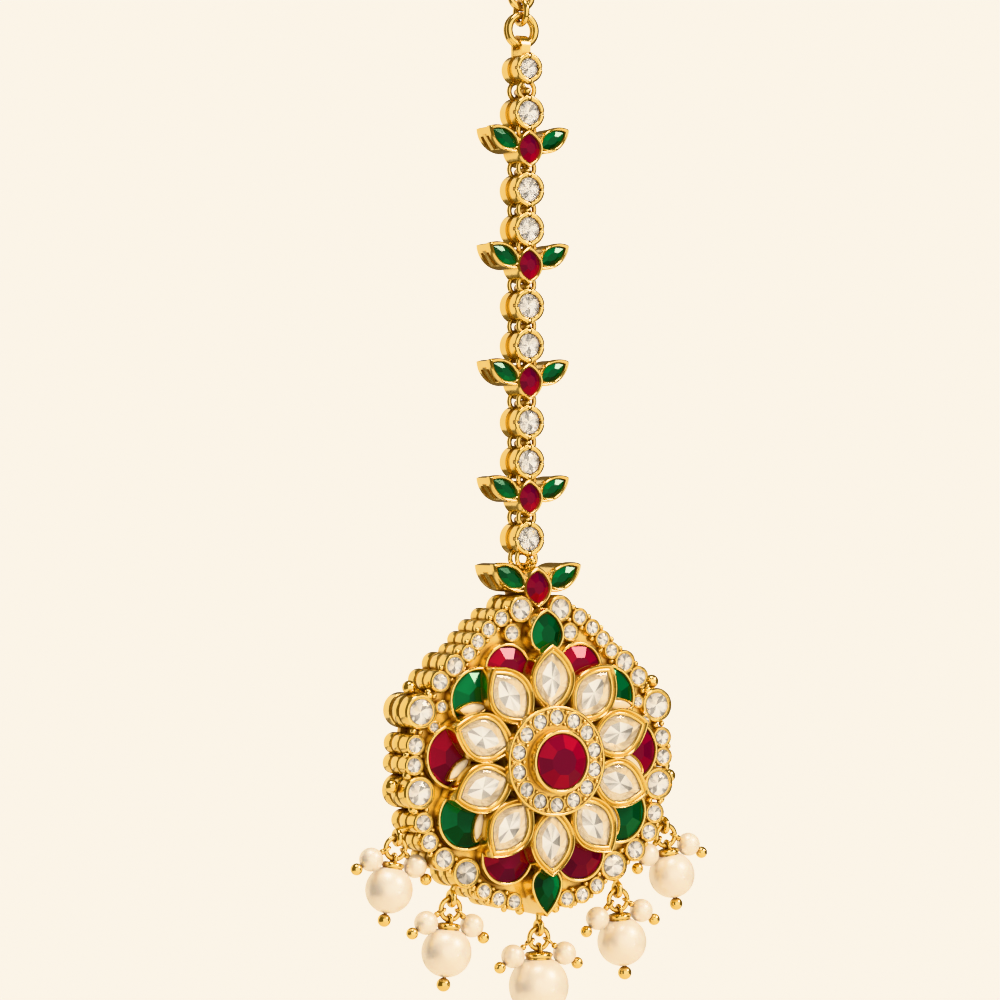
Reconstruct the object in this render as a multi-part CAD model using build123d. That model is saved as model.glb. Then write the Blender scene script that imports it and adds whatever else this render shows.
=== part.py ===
"""Maang tikka: a hooked link chain that ends in a round stone-set pendant with five pearl drops.

Everything is first laid out face up on a bench: X to the right, Y up along the chain, and height Z
towards the viewer.  The last step stands it up, so the front faces -Y and the chain hangs along Z.
Height 0 is the middle plane of the chain.  Bench Y = 0 is where a lock of hair carries the hook.
"""
from build123d import *
import math
import os

os.makedirs("parts", exist_ok=True)

# ---- driving dimensions, mm ----
HOOK_WIRE = 0.55           # radius of the hook's wire
HOOK_BEND = 3.2            # centreline radius of its bend
HOOK_SHANK = 7.5           # straight part down to the eye
EYE_R = 1.6                # centreline radius of the hook's eye
TOP_RING_R = 2.05          # doubled ring: centreline radius, wire radius, half pitch of its two turns
TOP_RING_WIRE = 0.48
TOP_RING_TURN = 0.36
BAIL_FRONT = 1.45          # outer heights of the strap on the first link
BAIL_BACK = -1.75

LINK_R = 2.3               # round link
FIRST_LINK_R = 2.0
LINK_FRONT = 2.5           # heights of a link's front and of a round link's back
LINK_BACK = -2.0
LOTUS_DEPTH = 4.3
JUMP_R = 1.22              # jump rings between links
JUMP_WIRE = 0.34
LAST_JUMP_R = 1.45
TUNNEL_GAP = 0.11          # play of a ring in the tunnel it passes through
FRONT_RING_H = 1.45
BACK_RING_H = -1.2
LAST_BACK_RING_H = -0.55
TAB_R = 0.85               # pierced tabs of the crown, on the last two rings
TAB_WIDE = 0.8

TOP_RING_Y = -16.45        # bench Y of the chain's pieces
FIRST_LINK_Y = -21.85
FIRST_PITCH = 6.1          # first link to second
TO_LOTUS = 4.7             # round link to the lotus below it
FROM_LOTUS = 5.8           # lotus to the round link below it
ROUND_PITCH = 5.45
TO_CROWN = 6.4
TO_FLOWER = 23.6           # crown lotus to the flower's centre

BORDER_FRONT = 5.7         # heights on the pendant
BORDER_BACK = -1.2
GROOVE_UP = 4.05           # groove round the border barrels, above their back
GROOVE_WIDE = 0.3
PLATE = 0.7                # thickness of its back plate and floor
FLOOR_TOP = BORDER_FRONT - 0.9
GAP_RIM = BORDER_FRONT + 0.9     # bezels of the coloured stones
PEAR_RIM = BORDER_FRONT + 1.9    # bezels of the two pears
PETAL_RIM = BORDER_FRONT + 3.2   # bezels of the clear petals
BOSS_RIM = BORDER_FRONT + 4.6
RUBY_RIM = BORDER_FRONT + 6.1
CROWN_FRONT = 4.75
CROWN_BACK = -1.15
CROWN_SCALE = 1.1

PETALS = 10
PETAL_TIP = 15.4           # radius of the petals' outer points
PETAL_HALF_LONG = 4.45
PETAL_HALF_WIDE = 3.36
PETAL_LIP = 0.5
GAP_LIP = 0.45
PEAR_LIP = 0.42
LENS_LONG = 2.15           # half length, half width and lip of a crescent's setting
LENS_WIDE = 0.85
LENS_LIP = 0.2
LENS_OUT = 2.08            # its place beside a petal, from the petal's middle, and its slant
LENS_ASIDE = 3.36
LENS_SLANT = 24
BOSS_R = 7.5
RING_STONES = 14
RING_STONES_AT = 5.95
RING_STONE_R = 0.98
RUBY_R = 3.75
STONE_PLAY = 0.03          # side play of a stone in its seat

CHAIN_Y = -HOOK_BEND       # the chain hangs straight under the hook's shank

# border collets, right half: (name, x, y above the flower's centre, outer radius)
BORDER = (
    ("shoulder", 3.05, 20.45, 1.68), ("bead_a", 6.1, 19.3, 1.12), ("bead_b", 8.05, 17.8, 1.1),
    ("bead_c", 9.7, 16.2, 1.1), ("bead_d", 11.1, 14.6, 1.1), ("upper", 13.2, 13.0, 1.46),
    ("upper_low", 15.4, 10.9, 1.36), ("high_corner", 18.3, 6.9, 2.12), ("side_high", 19.15, 2.45, 1.3),
    ("side_low", 19.35, -0.25, 1.25), ("low_corner", 18.55, -3.95, 2.05), ("lower", 17.95, -8.0, 1.34),
    ("lower_low", 17.05, -10.6, 1.26), ("base_high", 14.85, -12.95, 1.48), ("base", 11.45, -15.0, 1.9),
    ("foot_a", 8.75, -17.6, 1.12), ("foot_b", 6.5, -18.75, 1.12), ("foot_c", 4.1, -19.2, 1.12))
# plain gold balls on the border, right half: (name, x, y, radius, height above the back)
BALLS = (
    ("corner_ball", 18.9, 10.1, 0.95, 3.2), ("corner_bead", 17.0, 9.0, 0.62, 5.2),
    ("side_ball", 21.6, -3.1, 0.95, 3.3), ("side_bead", 20.1, -1.6, 0.6, 5.0),
    ("low_bead", 19.25, -6.15, 0.6, 5.0), ("foot_bead", 2.85, -20.0, 0.62, 4.6))
# white stones inside the border, right half: (name, x, y, outer radius)
INNER = (("neck", 4.5, 17.25, 1.2), ("cheek", 15.25, 7.5, 0.85), ("half_pearl", 16.4, 4.8, 0.8))
# pearl drops: (x and y of the eyelet, height, pearl radius, lean in degrees, x and y of its stalk's foot)
DROPS = (
    (-20.8, -10.0, 3.4, 3.2, -10.0, -17.6, -8.4), (-12.9, -18.5, 4.0, 3.4, -6.0, -11.9, -15.8),
    (0.0, -23.0, 5.0, 4.1, 0.0, 0.0, -20.4), (12.9, -18.5, 4.0, 3.4, 6.0, 11.9, -15.8),
    (20.8, -10.0, 3.4, 3.2, 10.0, 17.6, -8.4))
DROP_RING_R = 1.45
DROP_WIRE = 0.35
EYELET_R = 0.86
EYELET_WIRE = 0.4
SIDE_PEARL_R = 1.62
SIDE_BEAD_R = 0.82

# coloured stones half hidden by the petals, right half: (kind, x, y, radius of the setting)
GAP_STONES = (
    ("ruby", 5.55, 12.35, 3.6), ("emerald", 9.9, 8.3, 4.5), ("ruby", 13.5, 0.8, 4.5),
    ("emerald", 11.8, -7.6, 4.4), ("ruby", 5.6, -12.9, 4.05))
# pears: (angle, distance, radius of the round end, length from its middle to the tip)
PEARS = ((90, 17.0, 2.7, 3.6), (270, 16.9, 2.45, 4.4))
# crescents: (angle of the petal, side of it)
CRESCENTS = ((18, 1), (342, 1), (306, 1), (162, -1), (198, -1), (234, -1))


def chain_places():
    """Bench Y of the nine round links, the four lotus links and the crown."""
    rounds = [FIRST_LINK_Y]
    lotuses = []
    y = FIRST_LINK_Y - FIRST_PITCH
    for _ in range(4):
        rounds.append(y)
        y -= TO_LOTUS
        lotuses.append(y)
        y -= FROM_LOTUS
        rounds.append(y)
        y -= ROUND_PITCH
    y += ROUND_PITCH
    return rounds, lotuses, y - TO_CROWN


ROUND_Y, LOTUS_Y, CROWN_Y = chain_places()
FLOWER_Y = CROWN_Y - TO_FLOWER


def write(shape, name):
    """Stand a bench shape up under the hook and write it."""
    hung = Pos(0, CHAIN_Y, 0) * Rot(90, 0, 0) * shape
    export_step(hung, "parts/" + name + ".step")


def group(solids):
    return Compound(children=list(solids))


def largest(shape):
    return max(shape.solids(), key=lambda part: part.volume)


def join(first, others):
    return first.fuse(*others).clean()


# ---- small shapes ----

def ring(radius, wire, x, y, height, axis="Z"):
    turn = {"Z": Rot(0, 0, 0), "X": Rot(0, 90, 0), "Y": Rot(90, 0, 0)}[axis]
    return Pos(x, y, height) * turn * Solid.make_torus(radius, wire)


def prism(face, low, high):
    """The flat face, drawn at height 0, raised between two heights."""
    return Pos(0, 0, low) * Solid.extrude(face, Vector(0, 0, high - low))


def disc(radius, x, y, low, high):
    return Pos(x, y, low) * Solid.make_cylinder(radius, high - low)


def polygon(points):
    return Face(Wire.make_polygon([Vector(px, py, 0) for px, py in points], close=True))


def marquise(half_long, half_wide):
    """Pointed oval along X, two arcs that meet at the points."""
    left = (-half_long, 0, 0)
    right = (half_long, 0, 0)
    upper = Edge.make_three_point_arc(left, (0, half_wide, 0), right)
    lower = Edge.make_three_point_arc(right, (0, -half_wide, 0), left)
    return Face(Wire([upper, lower]))


def pear(radius, tip):
    """Drop shape along X: a round end at the origin and a point at X = tip."""
    side, cx, cy, along, across = pear_sides(radius, tip)
    meet = (radius * along, radius * across, 0)
    middle = (math.atan2(meet[1] - cy, meet[0] - cx) + math.atan2(-cy, tip - cx)) / 2
    bow = (cx + side * math.cos(middle), cy + side * math.sin(middle), 0)
    upper = Edge.make_three_point_arc(meet, bow, (tip, 0, 0))
    lower = Edge.make_three_point_arc((tip, 0, 0), (bow[0], -bow[1], 0), (meet[0], -meet[1], 0))
    back = Edge.make_three_point_arc((meet[0], -meet[1], 0), (-radius, 0, 0), meet)
    return Face(Wire([upper, lower, back]))


# ---- stones ----

def cut_stone(outline, low, girdle, high, table=0.56):
    """Faceted stone: a flat table, a crown of triangles, a thin girdle and a pointed back.

    outline is the girdle's polygon round the origin; the table repeats it turned by half a step.
    """
    count = len(outline)
    belt = 0.12
    top = [Vector((outline[i][0] + outline[(i + 1) % count][0]) / 2 * table,
                  (outline[i][1] + outline[(i + 1) % count][1]) / 2 * table, high)
           for i in range(count)]
    upper = [Vector(x, y, girdle) for x, y in outline]
    lower = [Vector(x, y, girdle - belt) for x, y in outline]
    back = Vector(0, 0, low)
    faces = [Face(Wire.make_polygon(top, close=True))]
    for i in range(count):
        k = (i + 1) % count
        faces.append(Face(Wire.make_polygon([upper[i], upper[k], top[i]], close=True)))
        faces.append(Face(Wire.make_polygon([top[i], upper[k], top[k]], close=True)))
        faces.append(Face(Wire.make_polygon([lower[i], lower[k], upper[k], upper[i]], close=True)))
        faces.append(Face(Wire.make_polygon([lower[k], lower[i], back], close=True)))
    return Solid(Shell(faces))


def round_outline(radius, sides):
    return [(radius * math.cos(2 * math.pi * i / sides), radius * math.sin(2 * math.pi * i / sides))
            for i in range(sides)]


def marquise_outline(half_long, half_wide, steps=6):
    """Points along the two arcs of a pointed oval, its tips included once."""
    arc = (half_long ** 2 + half_wide ** 2) / (2 * half_wide)
    sweep = math.asin(half_long / arc)
    side = []
    for i in range(steps):
        turn = sweep * (1 - 2 * i / steps)
        side.append((arc * math.sin(turn), arc * math.cos(turn) - (arc - half_wide)))
    return side + [(-px, -py) for px, py in side]


def pear_outline(radius, tip, steps=7):
    """Round end at the origin and a tip along X, as polygon points."""
    side, cx, cy, along, across = pear_sides(radius, tip)
    lean = math.atan2(across, along)
    start = math.atan2(-cy, tip - cx)
    turn = (start + math.atan2(radius * across - cy, radius * along - cx)) / 2
    shoulder = (cx + side * math.cos(turn), cy + side * math.sin(turn))
    points = [(tip, 0.0), shoulder]
    for i in range(steps):
        sweep = lean + (2 * math.pi - 2 * lean) * i / (steps - 1)
        points.append((radius * math.cos(sweep), radius * math.sin(sweep)))
    points.append((shoulder[0], -shoulder[1]))
    return points


def brilliant(radius, x, y, seat):
    """Small round white stone whose girdle sits at height seat."""
    stone = cut_stone(round_outline(radius, 10), seat - 0.35, seat, seat + 0.3)
    return Pos(x, y, 0) * stone


# ---- gold collets ----

def collet(radius, lip, floor, front, stone_depth=0.5, groove=None, back_rim=None):
    """Round setting turned about its own axis: barrel, half-round lip and a shallow stone seat.

    groove is a (low, high, radius) band cut into the barrel.
    """
    top = front - lip / 2
    outline = [(0, floor), (radius, floor)]
    if groove:
        low, high, waist = groove
        outline += [(radius, low), (waist, low), (waist, high), (radius, high)]
    outline.append((radius, top))
    edges = [Edge.make_line((a[0], 0, a[1]), (b[0], 0, b[1])) for a, b in zip(outline, outline[1:])]
    edges.append(Edge.make_three_point_arc((radius, 0, top), (radius - lip / 2, 0, front),
                                           (radius - lip, 0, top)))
    seat = [(radius - lip, top), (radius - lip, front - stone_depth),
            (0, front - stone_depth - 0.5), (0, floor)]
    edges += [Edge.make_line((a[0], 0, a[1]), (b[0], 0, b[1])) for a, b in zip(seat, seat[1:])]
    return Solid.revolve(Face(Wire(edges)), 360, Axis.Z)


def rim_wall(radius, lip, low, top, x=0.0, y=0.0):
    """Round wall with a half-round top, its outer face on a circle of the radius given."""
    edges = [Edge.make_line((radius - lip, 0, top - lip / 2), (radius - lip, 0, low)),
             Edge.make_line((radius - lip, 0, low), (radius, 0, low)),
             Edge.make_line((radius, 0, low), (radius, 0, top - lip / 2)),
             Edge.make_three_point_arc((radius, 0, top - lip / 2), (radius - lip / 2, 0, top),
                                       (radius - lip, 0, top - lip / 2))]
    return Pos(x, y, 0) * Solid.revolve(Face(Wire(edges)), 360, Axis.Z)


def marquise_rim(half_long, half_wide, lip, low, top):
    """Bezel wall round a pointed oval: two round walls that meet in mitres at its points."""
    arc = (half_long ** 2 + half_wide ** 2) / (2 * half_wide)
    keep = Pos(0, arc, (low + top) / 2) * Box(2 * half_long + 1, 2 * arc, top - low + 1)
    upper = rim_wall(arc, lip, low, top, 0, half_wide - arc).intersect(keep)
    upper = upper.solids()[0] if isinstance(upper, ShapeList) else upper
    return join(upper, [upper.mirror(Plane.XZ)])


def marquise_setting(half_long, half_wide, lip, floor, seat, top):
    """Pointed setting: a solid foot up to the stone's seat, and the bezel wall round it."""
    foot = prism(marquise(half_long, half_wide), floor, seat)
    return join(foot, [marquise_rim(half_long, half_wide, lip, seat - 0.3, top)])


def pear_sides(radius, tip, lean=76.0):
    """Radius and centre of a pear's side arcs, which touch its round end at the angle lean."""
    along = math.cos(math.radians(lean))
    across = math.sin(math.radians(lean))
    side = (tip ** 2 + radius ** 2 - 2 * tip * radius * along) / (2 * (radius - tip * along))
    return side, -(side - radius) * along, -(side - radius) * across, along, across


def pear_setting(radius, tip, lip, floor, seat, top):
    """Drop-shaped setting: foot, and a wall of one round end and two arcs that meet at the point."""
    side, cx, cy, along, across = pear_sides(radius, tip)
    reach = 3 * tip
    sector = polygon([(0, 0), (reach * along, reach * across), (reach, 0)])
    end = polygon([(0, 0), (reach * along, reach * across), (-reach, reach * across), (-reach, 0)])
    flank = rim_wall(side, lip, seat - 0.3, top, cx, cy).intersect(prism(sector, floor, top + 1))
    bow = rim_wall(radius, lip, seat - 0.3, top).intersect(prism(end, floor, top + 1))
    walls = flank.solids() + bow.solids()
    walls += [wall.mirror(Plane.XZ) for wall in walls]
    return join(prism(pear(radius, tip), floor, seat), walls)


def round_link(radius):
    """Spool: front collet, narrow drum and back plate."""
    drum = (LINK_BACK + 1.65, LINK_FRONT - 1.6, radius - 0.38)
    return collet(radius, 0.52, LINK_BACK, LINK_FRONT, 0.5, drum)


WING_LONG = 2.9            # half length and half width of a lotus wing, its middle and its slant
WING_WIDE = 1.5
WING_X = 3.55
WING_Y = 1.0
WING_SLANT = 32
HEART_HIGH = 2.4           # half height and half width of the pointed oval between the wings
HEART_WIDE = 1.92
HEART_DROP = 0.22          # how far its middle lies below the wings' roots
LOTUS_LIP = 0.36


def on_wing(shape, scale=1.0):
    return Pos(WING_X * scale, WING_Y * scale, 0) * Rot(0, 0, WING_SLANT) * shape


def at_heart(shape, scale):
    """Turn a shape drawn along X upright, into the middle of a lotus."""
    return Pos(0, -HEART_DROP * scale, 0) * Rot(0, 0, 90) * shape


def lotus(front, back, scale=1.0):
    """Three-stone link: a pointed oval between two leaning wings, with a window in each end wall."""
    seat = front - 0.8
    heart = at_heart(marquise_setting(HEART_HIGH * scale, HEART_WIDE * scale, LOTUS_LIP,
                                      back, seat + 0.1, front + 0.1), scale)
    leaf = marquise_setting(WING_LONG * scale, WING_WIDE * scale, LOTUS_LIP, back, seat, front)
    middle = (front + back) / 2 - 0.2
    high = (front - back) * 0.58
    flank = Pos(1.15 * scale, -WING_WIDE * scale, middle) * Rot(0, 0, 24)
    leaf = leaf.cut(flank * Box(2.3 * scale, 1.3, high))
    bar = Pos(1.15 * scale, -0.72 * WING_WIDE * scale, middle) * Rot(0, 0, 24)
    leaf = join(leaf, [bar * Box(2.5 * scale, 0.36, 0.36 * high)])
    right = on_wing(leaf, scale)
    metal = join(heart, [right, right.mirror(Plane.YZ)])
    well = prism(marquise(HEART_HIGH * scale - 1.2 * LOTUS_LIP, HEART_WIDE * scale - LOTUS_LIP),
                 seat + 0.1, front + 1)
    return metal.cut(at_heart(well, scale))


def lotus_stones(front, scale=1.0):
    """The ruby and the two emeralds of a lotus."""
    gap = LOTUS_LIP + STONE_PLAY
    heart = marquise_outline(HEART_HIGH * scale - 1.35 * gap, HEART_WIDE * scale - gap)
    ruby = at_heart(cut_stone(heart, front - 0.65, front - 0.2, front + 0.45), scale)
    leaf = marquise_outline(WING_LONG * scale - 1.9 * gap, WING_WIDE * scale - gap)
    emerald = cut_stone(leaf, front - 0.77, front - 0.3, front + 0.2)
    cover = marquise(HEART_HIGH * scale + 0.05, HEART_WIDE * scale + STONE_PLAY)
    right = largest(on_wing(emerald, scale).cut(at_heart(prism(cover, front - 2, front + 2), scale)))
    return ruby, [right, right.mirror(Plane.YZ)]


# ---- chain ----

def hair_hook():
    """Wire hook: eye, shank, bend towards the back and a ball on the free end."""
    bend_y = -(HOOK_BEND - HOOK_WIRE)
    low_y = bend_y - HOOK_SHANK
    tip_y = bend_y - 5.5
    shank = Edge.make_line((0, low_y, 0), (0, bend_y, 0))
    bend = Edge.make_three_point_arc((0, bend_y, 0), (0, bend_y + HOOK_BEND, -HOOK_BEND),
                                     (0, bend_y, -2 * HOOK_BEND))
    point = Edge.make_line((0, bend_y, -2 * HOOK_BEND), (0, tip_y, -2 * HOOK_BEND))
    start = Plane(origin=(0, low_y, 0), x_dir=(1, 0, 0), z_dir=(0, 1, 0))
    section = Face(Wire.make_circle(HOOK_WIRE, start))
    wire = Solid.sweep(section, Wire([shank, bend, point]))
    eye = ring(EYE_R, 0.5, 0, low_y - EYE_R, 0)
    ball = Pos(0, tip_y, -2 * HOOK_BEND) * Solid.make_sphere(0.85, angle1=-90, angle2=90)
    return join(wire, [eye, ball]), low_y - EYE_R


def oval_link(eye_y):
    """Edge-on oval of round wire between the hook's eye and the top ring."""
    wire = 0.42
    half_deep = 1.55
    top = eye_y - EYE_R + 0.5 + wire + 0.1
    bottom = TOP_RING_Y + TOP_RING_R - TOP_RING_WIRE - wire - 0.25
    high = top - half_deep
    low = bottom + half_deep
    path = Wire([Edge.make_line((0, low, half_deep), (0, high, half_deep)),
                 Edge.make_three_point_arc((0, high, half_deep), (0, top, 0), (0, high, -half_deep)),
                 Edge.make_line((0, high, -half_deep), (0, low, -half_deep)),
                 Edge.make_three_point_arc((0, low, -half_deep), (0, bottom, 0), (0, low, half_deep))])
    start = Plane(origin=(0, low, half_deep), x_dir=(1, 0, 0), z_dir=(0, 1, 0))
    return Solid.sweep(Face(Wire.make_circle(wire, start)), path)


def top_ring():
    front = ring(TOP_RING_R, TOP_RING_WIRE, 0, TOP_RING_Y, TOP_RING_TURN)
    back = ring(TOP_RING_R, TOP_RING_WIRE, 0, TOP_RING_Y, -TOP_RING_TURN)
    return join(front, [back])


def bail():
    """Strap that runs from the first link's front over the top ring's wire to its back."""
    wide = 1.3
    thick = 0.45
    outer = (BAIL_FRONT - BAIL_BACK) / 2
    middle = (BAIL_FRONT + BAIL_BACK) / 2
    play = 0.45
    bar_y = TOP_RING_Y - TOP_RING_R + TOP_RING_WIRE + play + thick - outer
    legs_y = (bar_y + FIRST_LINK_Y) / 2
    long = bar_y - FIRST_LINK_Y
    loop = Pos(-wide / 2, bar_y, middle) * Rot(0, 90, 0) * Solid.make_cylinder(outer, wide)
    hole = Pos(-wide / 2, bar_y, middle) * Rot(0, 90, 0) * Solid.make_cylinder(outer - thick, wide)
    legs = Pos(0, legs_y, middle) * Box(wide, long, 2 * outer)
    gap = Pos(0, legs_y, middle) * Box(wide + 1, long, 2 * (outer - thick))
    return join(loop, [legs]).cut(hole, gap)


def connections():
    """Bench Y of the middle of each pair of jump rings, and the radius of its rings."""
    links = [(y, FIRST_LINK_R if y == FIRST_LINK_Y else LINK_R) for y in ROUND_Y]
    links += [(y, 2.25) for y in LOTUS_Y]
    links.sort(reverse=True)
    places = []
    for (upper, upper_r), (lower, lower_r) in zip(links, links[1:]):
        places.append(((upper - upper_r + lower + lower_r) / 2, JUMP_R))
    places.append((ROUND_Y[-1] - LINK_R - 0.38, LAST_JUMP_R))
    return places


def jump_rings(play=0.0):
    """All front rings and all back rings; with play, the tunnels that they pass through."""
    front = []
    back = []
    for y, radius in connections():
        last = radius == LAST_JUMP_R
        behind = LAST_BACK_RING_H if last else BACK_RING_H
        front.append(ring(radius, JUMP_WIRE + play, 0, y, FRONT_RING_H))
        back.append(ring(radius, JUMP_WIRE + play, 0, y, behind))
    return front, back


def lug(y, height, size=0.34):
    """Small ball on a link's edge, seen in the middle of a jump ring."""
    return Pos(0, y, height) * Solid.make_sphere(size, angle1=-90, angle2=90)


def near(shape_y, tunnels, reach):
    return [t for t in tunnels if abs(t.center().Y - shape_y) < reach]


def build_chain():
    front, back = jump_rings()
    tunnels = sum(jump_rings(TUNNEL_GAP), [])
    write(group(front), "link_rings_front")
    write(group(back), "link_rings_back")
    white = []
    for number, y in enumerate(ROUND_Y, 1):
        first = number == 1
        radius = FIRST_LINK_R if first else LINK_R
        link = Pos(0, y, 0) * round_link(radius)
        lugs = [lug(y + radius + 0.08, height) for height in (FRONT_RING_H, BACK_RING_H)]
        extra = [bail()] if first else lugs
        link = join(link, extra).cut(*near(y, tunnels, 5))
        write(link, "round_link_" + str(number))
        white.append(brilliant(radius - 0.52 - STONE_PLAY, 0, y, LINK_FRONT - 0.35))
    rubies = []
    emeralds = []
    for number, y in enumerate(LOTUS_Y, 1):
        link = Pos(0, y, 0) * lotus(LINK_FRONT, LINK_FRONT - LOTUS_DEPTH)
        link = link.cut(*near(y, tunnels, 5))
        write(link, "lotus_link_" + str(number))
        ruby, leaves = lotus_stones(LINK_FRONT)
        rubies.append(Pos(0, y, 0) * ruby)
        emeralds += [Pos(0, y, 0) * leaf for leaf in leaves]
    write(group(white), "chain_diamonds")
    write(group(rubies), "chain_rubies")
    write(group(emeralds), "chain_emeralds")


# ---- pendant ----

def both(x, y):
    """The place and its mirror image."""
    return ((x, y), (-x, y))


def gap_settings(*kinds):
    """Place and radius of the coloured stones' settings of the kinds named, both halves."""
    return [(px, py, radius) for kind, x, y, radius in GAP_STONES if kind in kinds
            for px, py in both(x, y)]


def border_outline(inset):
    """Polygon through the border collets, drawn in towards the centre."""
    right = [(x, y) for _, x, y, _ in BORDER]
    points = []
    for x, y in right + [(-x, y) for x, y in reversed(right)]:
        away = math.hypot(x, y)
        points.append((x * (away - inset) / away, y * (away - inset) / away))
    return points


def shell_body():
    """Floor, back plate and a set-back wall between them: a closed hollow case."""
    plate = polygon(border_outline(0.35))
    wall = prism(polygon(border_outline(1.2)), BORDER_BACK, FLOOR_TOP)
    plates = [prism(plate, BORDER_BACK, BORDER_BACK + 1.0), prism(plate, FLOOR_TOP - PLATE, FLOOR_TOP)]
    hollow = prism(polygon(border_outline(2.0)), BORDER_BACK + PLATE, FLOOR_TOP - PLATE)
    return join(wall, plates).cut(hollow)


def border_collets():
    """Barrels that run from the back plate to the front, with a thin groove near the back."""
    made = []
    for _, x, y, radius in BORDER:
        lip = 0.22 * radius + 0.05
        barrel = collet(radius, lip, BORDER_BACK, BORDER_FRONT, 0.42,
                        (BORDER_BACK + GROOVE_UP, BORDER_BACK + GROOVE_UP + GROOVE_WIDE, radius - 0.22))
        made += [Pos(px, py, 0) * barrel for px, py in both(x, y)]
    for _, x, y, radius in INNER:
        lip = 0.22 * radius + 0.05
        barrel = collet(radius, lip, FLOOR_TOP - 0.3, BORDER_FRONT + 0.1, 0.42)
        made += [Pos(px, py, 0) * barrel for px, py in both(x, y)]
    for _, x, y, radius, height in BALLS:
        ball = Solid.make_sphere(radius, angle1=-90, angle2=90)
        made += [Pos(px, py, height) * ball for px, py in both(x, y)]
    return made


def ball_stems():
    """Short pins that carry the balls standing off the border."""
    stems = []
    for name, x, y, _, height in BALLS:
        if name in ("corner_ball", "side_ball"):
            away = math.hypot(x, y)
            angle = math.degrees(math.atan2(y, x))
            stem = Rot(0, 90, 0) * Solid.make_cylinder(0.4, 4.6)
            placed = Pos(0, 0, height) * Rot(0, 0, angle) * Pos(away - 4.6, 0, 0) * stem
            stems += [placed, placed.mirror(Plane.YZ)]
    return stems


def eyelets():
    """Thick loops on stalks round the lower rim, one for each drop."""
    made = []
    for x, y, height, _, _, sx, sy in DROPS:
        made.append(ring(EYELET_R, EYELET_WIRE, x, y, height, "X"))
        run = Vector(x - sx, y + EYELET_R - sy, 0)
        length = run.length
        angle = math.degrees(math.atan2(run.Y, run.X))
        stalk = Rot(0, 90, 0) * Solid.make_cylinder(0.42, length)
        made.append(Pos(sx, sy, height) * Rot(0, 0, angle) * stalk)
    return made


def ring_slot(radius, y, height):
    """Round slot about the ring's own axis, in which the tab turns on the ring."""
    reach = JUMP_WIRE + TUNNEL_GAP
    outer = disc(radius + reach, 0, y, height - reach, height + reach)
    return outer.cut(disc(radius - reach, 0, y, height - reach, height + reach))


def crown():
    """The crown lotus, with the two pierced tabs that the last jump rings pass through."""
    body = Pos(0, CROWN_Y - FLOWER_Y, 0) * lotus(CROWN_FRONT, CROWN_BACK, CROWN_SCALE)
    y, radius = connections()[-1]
    middle = y - FLOWER_Y
    heights = (FRONT_RING_H, LAST_BACK_RING_H)
    tab = Rot(0, 90, 0) * Solid.make_cylinder(TAB_R, TAB_WIDE)
    tabs = [Pos(-TAB_WIDE / 2, middle - radius, height) * tab for height in heights]
    tabs.append(lug(middle - radius + 0.3, FRONT_RING_H + 0.95, 0.42))
    slots = [ring_slot(radius, middle, height) for height in heights]
    return join(body, tabs).cut(*slots)


def crown_neck():
    """Solid between the crown lotus and the top of the border."""
    return Pos(0, 21.1, 2.0) * Box(3.4, 2.6, 3.2)


def at_petal(shape, index):
    """Move a shape drawn along X to one petal's place."""
    return Rot(0, 0, 90 + index * 360 / PETALS) * Pos(PETAL_TIP - PETAL_HALF_LONG, 0, 0) * shape


def at_pear(shape, angle, away):
    return Rot(0, 0, angle) * Pos(away, 0, 0) * shape


def at_crescent(shape, petal, side):
    """Slim lens along a petal's flank, beside a coloured stone."""
    out = PETAL_TIP - PETAL_HALF_LONG + LENS_OUT
    return Rot(0, 0, petal) * Pos(out, side * LENS_ASIDE, 0) * Rot(0, 0, -side * LENS_SLANT) * shape


def ring_places(count, radius):
    turns = [2 * math.pi * (i + 0.5) / count for i in range(count)]
    return [(radius * math.cos(turn), radius * math.sin(turn)) for turn in turns]


def gap_stone_cutters(gap):
    """What hides the inner part of a coloured stone: the petals and the two pears."""
    leaf = prism(marquise(PETAL_HALF_LONG + 1.7 * gap, PETAL_HALF_WIDE + gap), 0, 12)
    petals = [at_petal(leaf, i) for i in range(PETALS)]
    pears = [at_pear(prism(pear(radius + gap, tip + 1.7 * gap), 0, 12), angle, away)
             for angle, away, radius, tip in PEARS]
    return petals, pears


def flower_base():
    """Case with the discs under the coloured stones, each sunk for its stone."""
    discs = []
    hollows = []
    for x, y, radius in gap_settings("ruby", "emerald"):
        discs.append(disc(radius - 0.2, x, y, FLOOR_TOP - 0.4, GAP_RIM - 0.9))
        discs.append(rim_wall(radius, GAP_LIP, FLOOR_TOP - 0.4, GAP_RIM, x, y))
        hollows.append(disc(radius - GAP_LIP, x, y, GAP_RIM - 0.9, GAP_RIM + 1))
    return join(shell_body(), discs).cut(*hollows)


def flower_rims():
    """Petal, pear and crescent settings, which stand over the coloured stones."""
    petal = marquise_setting(PETAL_HALF_LONG, PETAL_HALF_WIDE, PETAL_LIP, FLOOR_TOP - 0.4,
                             PETAL_RIM - 1.1, PETAL_RIM)
    rims = [at_petal(petal, i) for i in range(PETALS)]
    floors = (FLOOR_TOP - 0.4, BORDER_BACK + 1.0)
    for (angle, away, radius, tip), floor in zip(PEARS, floors):
        setting = pear_setting(radius, tip, PEAR_LIP, floor, PEAR_RIM - 0.9, PEAR_RIM)
        rims.append(at_pear(setting, angle, away))
    lens = marquise_setting(LENS_LONG, LENS_WIDE, LENS_LIP, FLOOR_TOP - 0.4, GAP_RIM - 0.3, GAP_RIM + 0.35)
    rims += [at_crescent(lens, angle, side) for angle, side in CRESCENTS]
    return rims


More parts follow.
